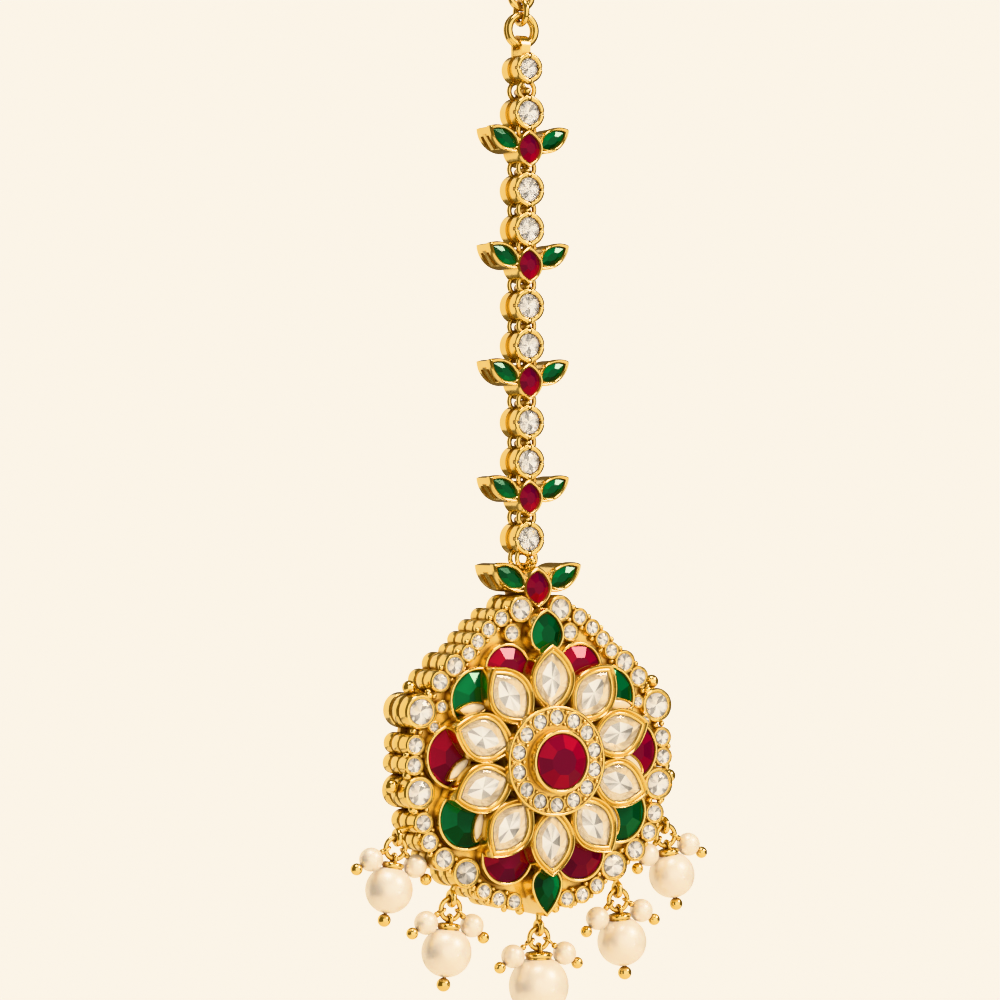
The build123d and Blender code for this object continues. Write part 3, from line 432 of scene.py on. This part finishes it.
LOTUS_AT = (-32.65, -48.6, -64.55, -80.5)
LOTUS_LIP = 0.36
HEART_HIGH, HEART_WIDE, HEART_DROP = 2.4, 1.92, 0.22       # half sizes, and how low it hangs
LEAF_LONG, LEAF_WIDE, LEAF_X, LEAF_Y, LEAF_SLANT = 2.9, 1.5, 3.55, 1.0, 32
HEART_SUNK, LEAF_SUNK = 0.06, 0.28                         # of the girdles, below the front
HEART_RIM_UP, LEAF_RIM_UP = 0.16, 0.2                      # of the rims, above the girdles
HEART_TIP, LEAF_TIP = 1.2, 1.6                             # gap at the tips, over the sides' gap
HEART_RIM = ((2.62, 1.98), (1.95, 1.5))                    # half length and width, out and in
LEAF_RIM = ((3.1, 1.56), (2.45, 1.06))
RIM_POINTS, RIM_SWELL = 48, 1.6
BLUNT_OUTER, BLUNT_INNER = 0.7, 0.72                       # share of a leaf's end at the heart
CROWN_AT, CROWN_FRONT, CROWN_SCALE = -92.7, 4.75, 1.1
CROWN_BALLS = (      # x, y, height, turn, radius: two gold balls in the rings over the crown
    (0, -89.42, 3.3, 0, 0.5), (0, -89.42, 2.5, 0, 0.36))
# painted reflection of each facet in turn, from 0 for the deep colour to 1 for the bright one
HEART_TONES = (0.35, 0.55, 0.3, 0.75, 1.0, 0.6, 0.2, 0.1)
LEAF_TONES = (0.3, 0.75, 1.0, 0.6, 0.25, 0.1, 0.2, 0.45)

# The foil is coloured, and each facet is painted a different depth of its red or green as a painted
# reflection.
ruby = foil("ruby_glass_on_foil", "#8A0622", "#300120", shine=0.1, dull=0.2, coat=0.2, gloss=0.1)
emerald = foil("emerald_glass_on_foil", "#046232", "#000E06", shine=0.1, dull=0.2, coat=0.2,
               gloss=0.1)


def pointed_edge(half_long, half_wide, count):
    """Pointed oval along x: two arcs of one circle that meet at the points, evenly divided."""
    arc = (half_long ** 2 + half_wide ** 2) / (2 * half_wide)
    sweep = np.arcsin(half_long / arc)
    turn = sweep * (1 - 2 * np.arange(count // 2) / (count // 2))
    side = np.stack((arc * np.sin(turn), arc * np.cos(turn) - (arc - half_wide)), -1)
    return np.concatenate((side, -side))


def table_cut(edge, tones, table, rise, table_tone, deep=0.4, belt=0.1, wall_tone=0.15):
    """Table cut over a closed edge with an even number of points.

    The table is the edge's every other point scaled about the middle; wide facets fall from its
    sides to the girdle, and narrow ones fill the girdle's odd points.  A wall goes down from the
    girdle and leans in to a flat back.
    """
    count = len(edge) // 2
    points = np.concatenate((level(edge[0::2] * table, rise), level(edge, 0.0),
                             level(edge, -belt), level(edge * 0.8, -deep)))
    k, j = np.arange(count), np.arange(2 * count)
    after, j2 = (k + 1) % count, (j + 1) % (2 * count)
    girdle, girdle2 = count + 2 * k, count + (2 * k + 2) % (2 * count)
    shades = np.resize(tones, count)
    # Painted light: the table and facets take the given tones, and the wall and back dark ones as
    # painted shade.
    rows = [(k[None], 0, np.array([table_tone])),
            (np.stack((k, after, girdle2, girdle), -1), 0, shades),
            (np.stack((girdle, girdle2, girdle + 1), -1), 0, np.roll(shades, 1))]
    for near, far in ((count, 3 * count), (3 * count, 5 * count)):
        rows.append((np.stack((near + j, near + j2, far + j2, far + j), -1), 0,
                     np.full(2 * count, wall_tone)))
    return points, rows + [(5 * count + j[None], 0, np.zeros(1))]


def lotus_places(y, front, scale):
    """Places of one lotus' heart and of its two leaves."""
    return ([(0, y - HEART_DROP * scale, front - HEART_SUNK, 90, scale)],
            [(side * LEAF_X * scale, y + LEAF_Y * scale, front - LEAF_SUNK, slant, scale)
             for side, slant in ((1, LEAF_SLANT), (-1, 180 - LEAF_SLANT))])


def almond_edge(half_long, half_wide, count, swell):
    """Almond along x: x is the cosine of the turn, y its sine to the power swell, with its sign."""
    turn = 2 * np.pi * np.arange(count) / count
    sine = np.sin(turn)
    side = half_wide * np.sign(sine) * np.abs(sine) ** swell
    return np.stack((half_long * np.cos(turn), side), -1)


def rim_edge(size, blunt=1.0):
    """Almond of half length and width, whose half towards the heart may be a share as long."""
    edge = almond_edge(*size, RIM_POINTS, RIM_SWELL)
    return edge * np.where(edge[:, :1] < 0, (blunt, 1), 1)


def pointed_bezel(outer, inner, steps):
    """Rings between two outlines: each is a share of the way inwards, at its own height."""
    return (np.concatenate([level(outer + share * (inner - outer), height)
                            for share, height in steps]),
            [(grid_faces(len(steps), len(outer)), 0)])


def merged(parts):
    """One set of arrays from several: the corners of each part follow those before it."""
    starts = np.cumsum([0] + [len(points) for points, _ in parts[:-1]])
    return (np.concatenate([points for points, _ in parts]),
            [(group[0] + start, *group[1:]) for start, (_, faces) in zip(starts, parts)
             for group in faces])


def raised(places, up):
    """The places, moved forwards."""
    return [(x, y, height + up, *rest) for x, y, height, *rest in places]


gap = LOTUS_LIP + SEAT_PLAY
heart = table_cut(pointed_edge(HEART_HIGH - HEART_TIP * gap, HEART_WIDE - gap, 16),
                  HEART_TONES, table=0.45, rise=0.4, table_tone=0.4)
leaf = table_cut(pointed_edge(LEAF_LONG - LEAF_TIP * gap, LEAF_WIDE - gap, 16),
                 LEAF_TONES, table=0.45, rise=0.3, table_tone=0.38)
THIN_STEPS = (       # share of the way from the outer edge to the inner one, height
    (0, -0.9), (0, -0.12), (0.12, 0.08), (0.35, 0.2), (0.6, 0.16), (0.82, 0.0), (1, -0.2),
    (1, -0.8))
heart_rim = pointed_bezel(*[rim_edge(size) for size in HEART_RIM], THIN_STEPS)
leaf_rim = pointed_bezel(rim_edge(LEAF_RIM[0], BLUNT_OUTER), rim_edge(LEAF_RIM[1], BLUNT_INNER),
                         THIN_STEPS)

lotuses = [lotus_places(y, LINK_FRONT, 1.0) for y in LOTUS_AT]
hearts = [place for middle, _ in lotuses for place in middle]
leaves = [place for _, pair in lotuses for place in pair]
piece("lotus_heart_bezels", *copies(*heart_rim, raised(hearts, HEART_RIM_UP)), [gold], "chain",
      "gold_plate", smooth=45)
piece("lotus_leaf_bezels", *copies(*leaf_rim, raised(leaves, LEAF_RIM_UP)), [gold], "chain",
      "gold_plate", smooth=45)
piece("lotus_rubies", *copies(*heart, hearts), [ruby], "chain", "ruby_glass",
      instead=["chain_rubies"])
piece("lotus_emeralds", *copies(*leaf, leaves), [emerald], "chain", "emerald_glass",
      instead=["chain_emeralds"])

hearts, leaves = lotus_places(CROWN_AT, CROWN_FRONT, CROWN_SCALE)
crown = merged([copies(*heart_rim, raised(hearts, HEART_RIM_UP)),
                copies(*leaf_rim, raised(leaves, LEAF_RIM_UP)), copies(*bead(), CROWN_BALLS)])
piece("crown_bezels", *crown, [gold], "pendant", "gold_plate", smooth=45)
piece("crown_heart", *copies(*heart, hearts), [ruby], "pendant", "ruby_glass",
      instead=["crown_ruby"])
piece("crown_leaves", *copies(*leaf, leaves), [emerald], "pendant", "emerald_glass",
      instead=["crown_emeralds"])


# ---- petals ----
# Ten kundan petals: flat glass with a bevelled edge over bright foil, each in a deep pointed bezel
# with a second, finer gold rim inside.  The foil is folded to a star that shows pale in the glass.

FLOWER_AT = -116.3         # y of the flower's middle
PETAL_MIDDLE, PETAL_RIM, PETAL_DEEP = 10.95, 8.9, 3.9      # from the flower's middle, height, depth
PETAL_OUTER, PETAL_INNER = (4.85, 3.46), (3.62, 2.46)      # half length and width of the bezel
PETAL_STONE = (3.6, 2.44)
PETAL_TURNS = 90 + 36 * np.arange(10)
OUTER_SWELL, INNER_SWELL = 1.75, 1.95
BEZEL_STEPS = (   # share of the way from the outer edge to the inner one, height over the rim
    (0.0, -PETAL_DEEP), (0.0, 0.0), (0.06, 0.2), (0.16, 0.3), (0.27, 0.24), (0.36, 0.06),
    (0.44, 0.0), (0.52, 0.06), (0.62, 0.17), (0.74, 0.19), (0.88, 0.08), (1.0, -0.14), (1.0, -0.9))
KUNDAN_STEPS = (     # share of the stone's outline, height over the rim
    (1, -0.3), (1, -0.12), (0.9, 0.04), (0.8, 0.1))
STAR_LONG, STAR_WIDE, STAR_SWELL = 0.7, 0.6, 1.7           # shares of the stone's sizes
STAR_EDGE, STAR_MIDDLE = -0.62, -0.3                       # heights
STAR_ASIDE = 0.06          # how far out the star's middle lies, over the stone's half length
EDGE_TONE = 0.55           # least painted light of the foil round the star


def around_flower(turns, away, height):
    """Places on a circle round the flower's middle, each turned to point outwards."""
    return [(away * np.cos(np.radians(t)), FLOWER_AT + away * np.sin(np.radians(t)), height, t, 1)
            for t in turns]


def kundan_cut(half_long, half_wide):
    """Almond stone: rings of a smooth bevel up to a flat table, and a folded star behind.

    The foil falls from the girdle to the star's edge, and rises from there to its middle.
    """
    count, tips = 40, 10
    rings = [level(almond_edge(half_long * size, half_wide * size, count, INNER_SWELL), height)
             for size, height in KUNDAN_STEPS]
    star = level(almond_edge(half_long * STAR_LONG, half_wide * STAR_WIDE, tips, STAR_SWELL),
                 STAR_EDGE)
    points = np.concatenate((*rings, star, [(STAR_ASIDE * half_long, 0, STAR_MIDDLE)]))
    first = len(rings) * count
    table = np.arange(first - count, first)
    n, step = np.arange(tips), count // tips
    n2 = (n + 1) % tips
    band = [np.stack((first + n, (step * n + m) % count, (step * n + m + 1) % count), -1)
            for m in range(step)]
    band.append(np.stack((first + n, step * n2, first + n2), -1))
    # painted reflection of each fold of the star, from 0 for dark to 1 for bright
    shades = np.array((0.9, 1.0, 0.3, 0.95, 0.6, 1.0, 0.45, 1.0, 0.8, 0.25))
    return points, [
        (grid_faces(len(rings), count, tube=False), 0), (table[None], 0),
        *[(rows, 2, EDGE_TONE + (1 - EDGE_TONE) * np.roll(shades, m))
          for m, rows in enumerate(band)],
        (np.stack((first + n, first + n2, np.full(tips, first + tips)), -1), 1, shades)]


petals = around_flower(PETAL_TURNS, PETAL_MIDDLE, PETAL_RIM)
bezel = pointed_bezel(almond_edge(*PETAL_OUTER, 72, OUTER_SWELL),
                      almond_edge(*PETAL_INNER, 72, INNER_SWELL), BEZEL_STEPS)
piece("petal_bezels", *copies(*bezel, petals), [gold], "pendant", "gold_plate", smooth=50)

# The star's foil is silver, its facets painted bright and grey; the edge's is painted a pale straw,
# a painted reflection of the gold wall beside it.
star_foil = foil("kundan_star_foil", "#FFFFFF", "#857F75", shine=0.2, dull=0.12)
painted_gold_reflection_foil = foil("kundan_edge_foil", "#FBEBD0", "#BD9764", shine=0.6, dull=0.2)
piece("petal_stones", *copies(*kundan_cut(*PETAL_STONE), petals), [crystal, star_foil, painted_gold_reflection_foil],
      "pendant", "white_stone", smooth=30, instead=["petal_stone_" + str(n + 1) for n in range(10)])


# ---- coloured stones between the petals ----
# Round rubies and emeralds of foiled glass, with a table and eight wide facets.  Each is held by
# the half-round lip of a gold cup, and passes under the petals beside it.

GAP_RIM, GAP_LIP, GAP_SUNK = 6.6, 0.45, 0.3                # height, lip's width, stones' depth
GAP_STONES = (   # kind, x, y above the flower's middle, radius of the setting; right half
    ("ruby", 5.55, 12.35, 3.6), ("emerald", 9.9, 8.3, 4.5), ("ruby", 13.5, 0.8, 4.5),
    ("emerald", 11.8, -7.6, 4.4), ("ruby", 5.6, -12.9, 4.05))
# painted reflection of each facet in turn
ROUND_TONES = (0.55, 1.0, 0.8, 0.3, 0.15, 0.35, 0.6, 0.25)
cut = table_cut(round_edge(16), ROUND_TONES, table=0.5, rise=0.2, table_tone=0.38, deep=0.12)
for kind, colour in (("ruby", ruby), ("emerald", emerald)):
    places = [(side * x, FLOWER_AT + y, GAP_RIM - GAP_SUNK, turn, radius - GAP_LIP - SEAT_PLAY)
              for name, x, y, radius in GAP_STONES if name == kind
              for side, turn in ((1, 22.5), (-1, 67.5))]
    piece("flower_" + kind + "_stones", *copies(*cut, places), [colour], "pendant",
          kind + "_glass", instead=[kind + "_stones"])


# ---- pears ----
# A drop-shaped emerald of foiled glass stands above the flower and another below it, each under
# the lip of a deep gold cup.

PEAR_RIM, PEAR_LIP, PEAR_SUNK = 7.6, 0.42, 0.3             # height, lip's width, stones' depth
PEAR_TIP = 1.6             # gap at the stone's tip, over the lip's width
PEARS = (   # name, angle, distance from the flower's middle, radius, length to the tip
    ("upper_pear", 90, 17.0, 2.7, 3.6), ("lower_pear", 270, 16.9, 2.45, 4.4))
# painted reflection of each facet in turn
PEAR_TONES = (0.25, 0.8, 1.0, 0.7, 0.3, 0.1, 0.2, 0.35)


def drop_edge(radius, tip, count, lean=76.0):
    """Round end at the origin and a tip on x: an arc from one shoulder round to the other, and
    on each side one arc that touches it there and ends at the tip."""
    along, across = np.cos(np.radians(lean)), np.sin(np.radians(lean))
    side = (tip ** 2 + radius ** 2 - 2 * tip * radius * along) / (2 * (radius - tip * along))
    cx, cy = -(side - radius) * along, -(side - radius) * across
    bow = np.linspace(np.arctan2(-cy, tip - cx), np.radians(lean), count // 4, endpoint=False)
    end = np.linspace(np.radians(lean), np.pi, count // 4, endpoint=False)
    upper = np.concatenate((np.stack((cx + side * np.cos(bow), cy + side * np.sin(bow)), -1),
                            np.stack((radius * np.cos(end), radius * np.sin(end)), -1)))
    lower = np.concatenate(([(-radius, 0.0)], (upper * (1, -1))[:0:-1]))
    return np.concatenate((upper, lower))


for name, angle, away, radius, tip in PEARS:
    edge = drop_edge(radius - PEAR_LIP - SEAT_PLAY, tip - PEAR_TIP * PEAR_LIP - SEAT_PLAY, 16)
    pear = table_cut(edge, PEAR_TONES, table=0.5, rise=0.45, table_tone=0.38)
    place = around_flower([angle], away, PEAR_RIM - PEAR_SUNK)
    piece(name, *copies(*pear, place), [emerald], "pendant", "emerald_glass",
          instead=["emerald_pears"] if name == "upper_pear" else ())


# ---- boss ----
# The flower's raised middle: a large ruby with a wide table, and fourteen small brilliants round
# it, held between granules of gold.

BOSS_RIM, BOSS_SUNK = 10.3, 0.22           # height of the rim, and of its stones below it
RUBY_RIM, RUBY_SUNK, RUBY_R, RUBY_TURN = 11.8, 0.25, 3.75, 8
RING_STONES, RING_STONE_R, RING_AT = 14, 0.98, 5.95
GRANULES = ((5.1, 0.24), (6.72, 0.3))                      # distance from the middle, radius
GRANULE_SUNK = 0.02
# painted reflection of each facet in turn
RUBY_TONES = (0.75, 1.0, 0.5, 0.85, 0.3, 0.65, 0.9, 0.4, 0.6)
cut = table_cut(round_edge(18), RUBY_TONES, table=0.5, rise=0.2, table_tone=0.3, deep=0.2)
middle = [(0, FLOWER_AT, RUBY_RIM - RUBY_SUNK, RUBY_TURN, RUBY_R - SEAT_PLAY)]
piece("boss_ruby", *copies(*cut, middle), [ruby], "pendant", "ruby_glass",
      instead=["centre_ruby"])
ring_turns = np.arange(RING_STONES) * 360 / RING_STONES
half_step = 180 / RING_STONES
places = [(x, y, height, turn, RING_STONE_R - SEAT_PLAY) for x, y, height, turn, _
          in around_flower(ring_turns + half_step, RING_AT, BOSS_RIM - BOSS_SUNK)]
piece("boss_brilliants", *copies(*brilliant, places), [crystal, silver_foil], "pendant",
      "white_stone", instead=["centre_ring_stones"])
places = [(x, y, height, turn, radius) for away, radius in GRANULES for x, y, height, turn, _
          in around_flower(ring_turns, away, BOSS_RIM - GRANULE_SUNK)]
piece("boss_granules", *copies(*bead(), places), [gold], "pendant", "gold_plate", smooth=60)


# ---- border ----
# Small brilliants in round collets all round the pendant.  Each collet has a wide head with a thin
# bright lip and two gold drums behind, and grains of gold are soldered between neighbours.

BORDER_FRONT, HEAD_SWELL = 5.7, 1.13
BORDER = (   # x, y above the flower's middle, radius of the collet, height of its front; right half
    (3.05, 20.45, 1.68, 0), (6.1, 19.3, 1.12, 0), (8.05, 17.8, 1.1, 0), (9.7, 16.2, 1.1, 0),
    (11.1, 14.6, 1.1, 0), (13.2, 13.0, 1.46, 0), (15.4, 10.9, 1.36, 0), (18.3, 6.9, 2.12, 0),
    (19.15, 2.45, 1.3, 0), (19.35, -0.25, 1.25, 0), (18.55, -3.95, 2.05, 0),
    (17.95, -8.0, 1.34, 0), (17.05, -10.6, 1.26, 0), (14.85, -12.95, 1.48, 0),
    (11.45, -15.0, 1.9, 0), (8.75, -17.6, 1.12, 0), (6.5, -18.75, 1.12, 0), (4.1, -19.2, 1.12, 0),
    (4.5, 17.25, 1.2, 0.1), (15.25, 7.5, 0.85, 0.1), (16.4, 4.8, 0.8, 0.1))
ROW = 18                   # collets of the outer row; the rest stand inside it
SIDES = (1, -1)
BORDER_SUNK = 0.1          # the stones' girdles, below the collets' fronts
STONE_SHARE, STONE_PLAY = 0.8, 0.04        # share of the collet that its stone fills, less the play
BORDER_TURN = 30           # degrees round for each millimetre of x, so that no two stones match
HEAD = (             # radius over that of the collet, height from the front
    (0.7, -1.2), (1.13, -1.9), (1.13, -0.22), (1.1, -0.02), (1.03, 0.12), (0.96, 0.14), (0.9, 0.04),
    (0.87, -0.14), (0.86, -0.9))
REAR_DRUM = ((0.8, -6.7), (1.13, -6.75), (1.15, -6.5), (1.15, -5.0), (1.1, -4.85), (0.8, -4.8))
MIDDLE_DRUM = ((0.8, -4.45), (1.08, -4.4), (1.11, -4.3), (1.11, -2.7), (1.08, -2.6), (0.8, -2.55))
GRAIN_R, GRAIN_SUNK = 0.42, 0.5
GRAIN_OVERLAP = 0.3        # share of its radius by which a grain sits in its neighbours
LEAST_ASIDE = 0.5          # how far a grain keeps from the line between two collets
FOOT_GRAINS = (      # x, y above the flower's middle, radius: larger grains at the foot; right half
    (2.75, -20.55, 0.66), (5.2, -20.3, 0.42), (7.6, -19.35, 0.42), (9.9, -17.9, 0.42))
FOOT_SUNK = 1.1


def turned(profile, count):
    """Section of (radius, height) points carried round a circle, closed into a tube."""
    circle = round_edge(count)
    rings = np.concatenate([level(circle * radius, height) for radius, height in profile])
    return rings, [(grid_faces(len(profile), count), 0)]


def nooks(rounds, reach):
    """Where circles of the radii plus reach cross, for each pair of neighbours in the row.

    They cross (d^2 + r1^2 - r2^2) / 2d along the line between the middles, and beside it by the
    square root of what that leaves of r1^2.
    """
    here, there = rounds[:-1], rounds[1:]
    span = there[:, :2] - here[:, :2]
    apart = np.hypot(*span.T)
    r1, r2 = here[:, 2] + reach, there[:, 2] + reach
    along = np.clip((apart ** 2 + r1 ** 2 - r2 ** 2) / (2 * apart), 0, apart)
    aside = np.sqrt(np.maximum(r1 ** 2 - along ** 2, LEAST_ASIDE ** 2))
    base = here[:, :2] + span / apart[:, None] * along[:, None]
    beside = np.stack((-span[:, 1], span[:, 0]), -1) / apart[:, None] * aside[:, None]
    return np.concatenate((base + beside, base - beside))


places = [(side * x, FLOWER_AT + y, BORDER_FRONT + more - BORDER_SUNK, BORDER_TURN * x,
           HEAD_SWELL * (STONE_SHARE * radius - STONE_PLAY))
          for x, y, radius, more in BORDER for side in SIDES]
piece("border_brilliants", *copies(*brilliant, places), [crystal, silver_foil], "pendant",
      "white_stone", instead=["border_stones"])
heads = [copies(*turned([(radius * r, h) for r, h in HEAD], count=40),
                [(side * x, FLOWER_AT + y, BORDER_FRONT + more, 0, 1) for side in SIDES])
         for x, y, radius, more in BORDER]
piece("border_bezels", *merged(heads), [gold], "pendant", "gold_plate", smooth=35)
drums = [copies(*turned([(radius * r, h) for r, h in drum], count=32),
                [(side * x, FLOWER_AT + y, BORDER_FRONT, 0, 1) for side in SIDES])
         for drum in (REAR_DRUM, MIDDLE_DRUM) for x, y, radius, _ in BORDER[:ROW]]
piece("border_drums", *merged(drums), [gold], "pendant", "gold_plate", smooth=35)
row = np.array([(x, y, radius * HEAD_SWELL) for x, y, radius, _ in BORDER[:ROW]])
grains = [(x, y, GRAIN_R, GRAIN_SUNK) for x, y in nooks(row, GRAIN_R * (1 - GRAIN_OVERLAP))]
grains += [(*grain, FOOT_SUNK) for grain in FOOT_GRAINS]
places = [(side * x, FLOWER_AT + y, BORDER_FRONT - sunk, 0, radius)
          for x, y, radius, sunk in grains for side in SIDES]
piece("border_grains", *copies(*bead(), places), [gold], "pendant", "gold_plate", smooth=60)


# ---- crescents ----
# Slim slips of mother-of-pearl beside the coloured stones: creamy white, with cloudy bands.  Each
# is ground to a low dome and held by a thin pointed bezel.

CRESCENTS = ((18, 1), (342, 1), (306, 1), (162, -1), (198, -1), (234, -1))   # petal's angle, side
CRESCENT_OUT, CRESCENT_ASIDE = 13.03, 3.36                 # along the petal and beside it
CRESCENT_SLANT, CRESCENT_RIM = 24, 7.35
CRESCENT_OUTER, CRESCENT_INNER, SLIP_LONG, SLIP_WIDE = (2.3, 0.98), (1.85, 0.66), 1.86, 0.67
SLIP_STEPS = (       # share of the outline, height over the rim
    (1, -0.7), (1, -0.12), (0.85, 0.0), (0.55, 0.08), (0.2, 0.11))
SLIP_POINTS, SLIP_SWELL = 40, 1.4


def pearl(name, body, cloudy, grain_size, coat, lustre=0.0):
    """Nacre: a cream body with soft clouds, fine growth grain, and a clear gloss over it."""
    nacre, tree, place = empty_material(name)
    cloud = add(tree, "ShaderNodeTexNoise", {"Vector": place, "Scale": fineness(4.2),
                                             "Detail": 4.0})
    tone = add(tree, "ShaderNodeMix", {"Factor": cloud.outputs[0], 6: linear(body),
                                       7: linear(cloudy)}, data_type="RGBA")
    grain = add(tree, "ShaderNodeTexNoise", {"Vector": place, "Scale": fineness(grain_size),
                                             "Detail": 2.0})
    bump = add(tree, "ShaderNodeBump", {"Height": grain.outputs[0], "Strength": 0.1,
                                        "Distance": 0.00003})
    shader = add(tree, "ShaderNodeBsdfPrincipled", {
        "Base Color": tone.outputs[2], "Metallic": lustre, "Roughness": 0.38,
        "Subsurface Weight": 0.25, "Subsurface Radius": (1.0, 0.8, 0.55),
        "Subsurface Scale": 0.0012, "Coat Weight": coat, "Coat Roughness": 0.16, "Coat IOR": 1.6,
        "Sheen Weight": 0.15, "Sheen Roughness": 0.35, "Sheen Tint": linear("#FFE9D8"),
        "Normal": bump.outputs[0]})
    add(tree, "ShaderNodeOutputMaterial", {"Surface": shader.outputs[0]})
    return nacre


def crescent_edge(half_long, half_wide):
    """Slim almond, shared by a slip and its bezel."""
    return almond_edge(half_long, half_wide, SLIP_POINTS, SLIP_SWELL)


places = []
for petal, side in CRESCENTS:
    cos, sin = np.cos(np.radians(petal)), np.sin(np.radians(petal))
    places.append((CRESCENT_OUT * cos - side * CRESCENT_ASIDE * sin,
                   FLOWER_AT + CRESCENT_OUT * sin + side * CRESCENT_ASIDE * cos, CRESCENT_RIM,
                   petal - side * CRESCENT_SLANT, 1))
lens = pointed_bezel(crescent_edge(*CRESCENT_OUTER), crescent_edge(*CRESCENT_INNER), THIN_STEPS)
piece("crescent_bezels", *copies(*lens, places), [gold], "pendant", "gold_plate", smooth=45)

# Mother-of-pearl is cut from the shell's lining: milky, with little shine of its own.
shell = pearl("mother_of_pearl", "#EDE4D4", "#D8C6A6", 1.11, coat=0.6)
slip = np.concatenate([level(crescent_edge(SLIP_LONG * size, SLIP_WIDE * size), up)
                       for size, up in SLIP_STEPS])
rings = len(SLIP_STEPS)
foot = np.arange(SLIP_POINTS)
crest = foot + SLIP_POINTS * (rings - 1)
faces = [(grid_faces(rings, SLIP_POINTS, tube=False), 0), (foot[None], 0), (crest[None], 0)]
piece("crescent_slips", *copies(slip, faces, places), [shell], "pendant", "mother_of_pearl",
      smooth=50, instead=["pearl_crescents"])


# ---- pearls ----
# Round cultured pearls, drilled through and strung on gold pins.  Their thin layers of nacre give
# a cream body and a soft satin glow.

nacre = pearl("cultured_pearl_nacre", "#F3EBE0", "#EADFCD", 0.455, coat=0.5, lustre=0.4)
for name in ["side_pearls"] + ["main_pearl_" + str(n) for n in range(1, 6)]:
    nodes[name].data.materials[0] = nacre


# ---- drop caps ----
# A cushion-shaped gold cap is soldered on each large pearl's pin, and a small gold bead parts each
# side pearl from its ring.

DROPS = (   # x, y above the flower's middle, height, pearl radius, lean in degrees
    (-20.8, -10.0, 3.4, 3.2, -10), (-12.9, -18.5, 4.0, 3.4, -6), (0.0, -23.0, 5.0, 4.1, 0),
    (12.9, -18.5, 4.0, 3.4, 6), (20.8, -10.0, 3.4, 3.2, 10))
DROP_RING_R = 1.45
WIRE_AT = np.radians(75)                   # a side pearl's wire, round from the ring's foot
SIDE_PEARL_R, COLLAR_R = 1.62, 0.44
PEARLS_APART = 0.12
SIDE_SHARE, SIDE_MORE = 0.72, 1.05         # a side pearl's x: share of the large one's radius, mm
CAP_AT = -4.2                              # the cap's foot, below the top of the drop's ring
CAP_SHARE, CAP_MORE = 0.43, 0.14           # its radius: share of the pearl's, mm
PEARL_TOP = 0.35                           # the large pearl's top, above the cap's foot
COLLAR_SUNK = 0.3                          # share of its radius by which a collar sits in the pearl
CAP_EDGE = (         # distance out from the cap's edge, height over its foot
    (-0.45, 0.06), (-0.12, 0.14), (0.0, 0.36), (0.0, 0.56), (-0.12, 0.78), (-0.45, 0.88))
CAP_HOLE = ((0.3, 0.9), (0.3, 0.1))        # radius, height


def leaned(points, x, y, height, lean):
    """A drop's own (x, y, height) turned by its lean about the front axis and set in its place."""
    cos, sin = np.cos(np.radians(lean)), np.sin(np.radians(lean))
    px, py, ph = np.moveaxis(points, -1, 0)
    return np.stack((x + px * cos - py * sin, FLOWER_AT + y + px * sin + py * cos, height + ph), -1)


def collar_places(radius):
    """Middles of a drop's two collars, in its own x, y and height.

    A wire runs from the drop's ring to the side pearl, which touches the large one but for a gap.
    The collar sits on it, sunk a little into the side pearl.
    """
    side = np.array((1.0, -1.0))
    start = np.stack((side * DROP_RING_R * np.sin(WIRE_AT),
                      np.full(2, -DROP_RING_R * (1 + np.cos(WIRE_AT)))), -1)
    out = radius * SIDE_SHARE + SIDE_MORE
    reach = radius + SIDE_PEARL_R + PEARLS_APART
    up = CAP_AT + PEARL_TOP - radius + np.sqrt(reach ** 2 - out ** 2)
    end = np.stack((side * out, np.full(2, up)), -1)
    run = np.hypot(*(end - start).T)[:, None]
    middle = end - (end - start) / run * (SIDE_PEARL_R + (1 - COLLAR_SUNK) * COLLAR_R)
    return np.column_stack((middle, (0, 0)))


parts = []
for x, y, height, radius, lean in DROPS:
    edge = CAP_SHARE * radius + CAP_MORE
    profile = [(edge + out, up) for out, up in CAP_EDGE] + list(CAP_HOLE)
    points, faces = turned(profile, count=32)
    upright = points[:, (0, 2, 1)] + (0, CAP_AT, 0)
    parts.append((leaned(upright, x, y, height, lean), faces))
for x, y, height, radius, lean in DROPS:
    middles = leaned(collar_places(radius), x, y, height, lean)
    parts.append(copies(*bead(), [(*middle, 0, COLLAR_R) for middle in middles]))
piece("drop_caps", *merged(parts), [gold], "pendant", "gold_plate", smooth=50)


# ---- floor ----
# A plain painted tabletop far below the hanging tikka.  It is pale and matt, and only gives the
# light something to fall on.

HALF_TABLE, TABLE_AT = 0.26, -0.24         # m
top = bpy.data.meshes.new("floor")
corners = np.array(((-1, -1), (1, -1), (1, 1), (-1, 1))) * HALF_TABLE
top.from_pydata(np.column_stack((corners, np.full(4, TABLE_AT))).tolist(), [], [[0, 1, 2, 3]])
paint, tree, place = empty_material("pale_tabletop_paint")
mottle = add(tree, "ShaderNodeTexNoise", {"Vector": place, "Scale": fineness(33.3), "Detail": 3.0})
tone = add(tree, "ShaderNodeMix", {"Factor": mottle.outputs[0], 6: linear("#F3EADB"),
                                   7: linear("#F8F1E5")}, data_type="RGBA")
shader = add(tree, "ShaderNodeBsdfPrincipled", {"Base Color": tone.outputs[2], "Roughness": 0.7})
add(tree, "ShaderNodeOutputMaterial", {"Surface": shader.outputs[0]})
top.materials.append(paint)
floor = bpy.data.objects.new("floor", top)
scene.collection.objects.link(floor)
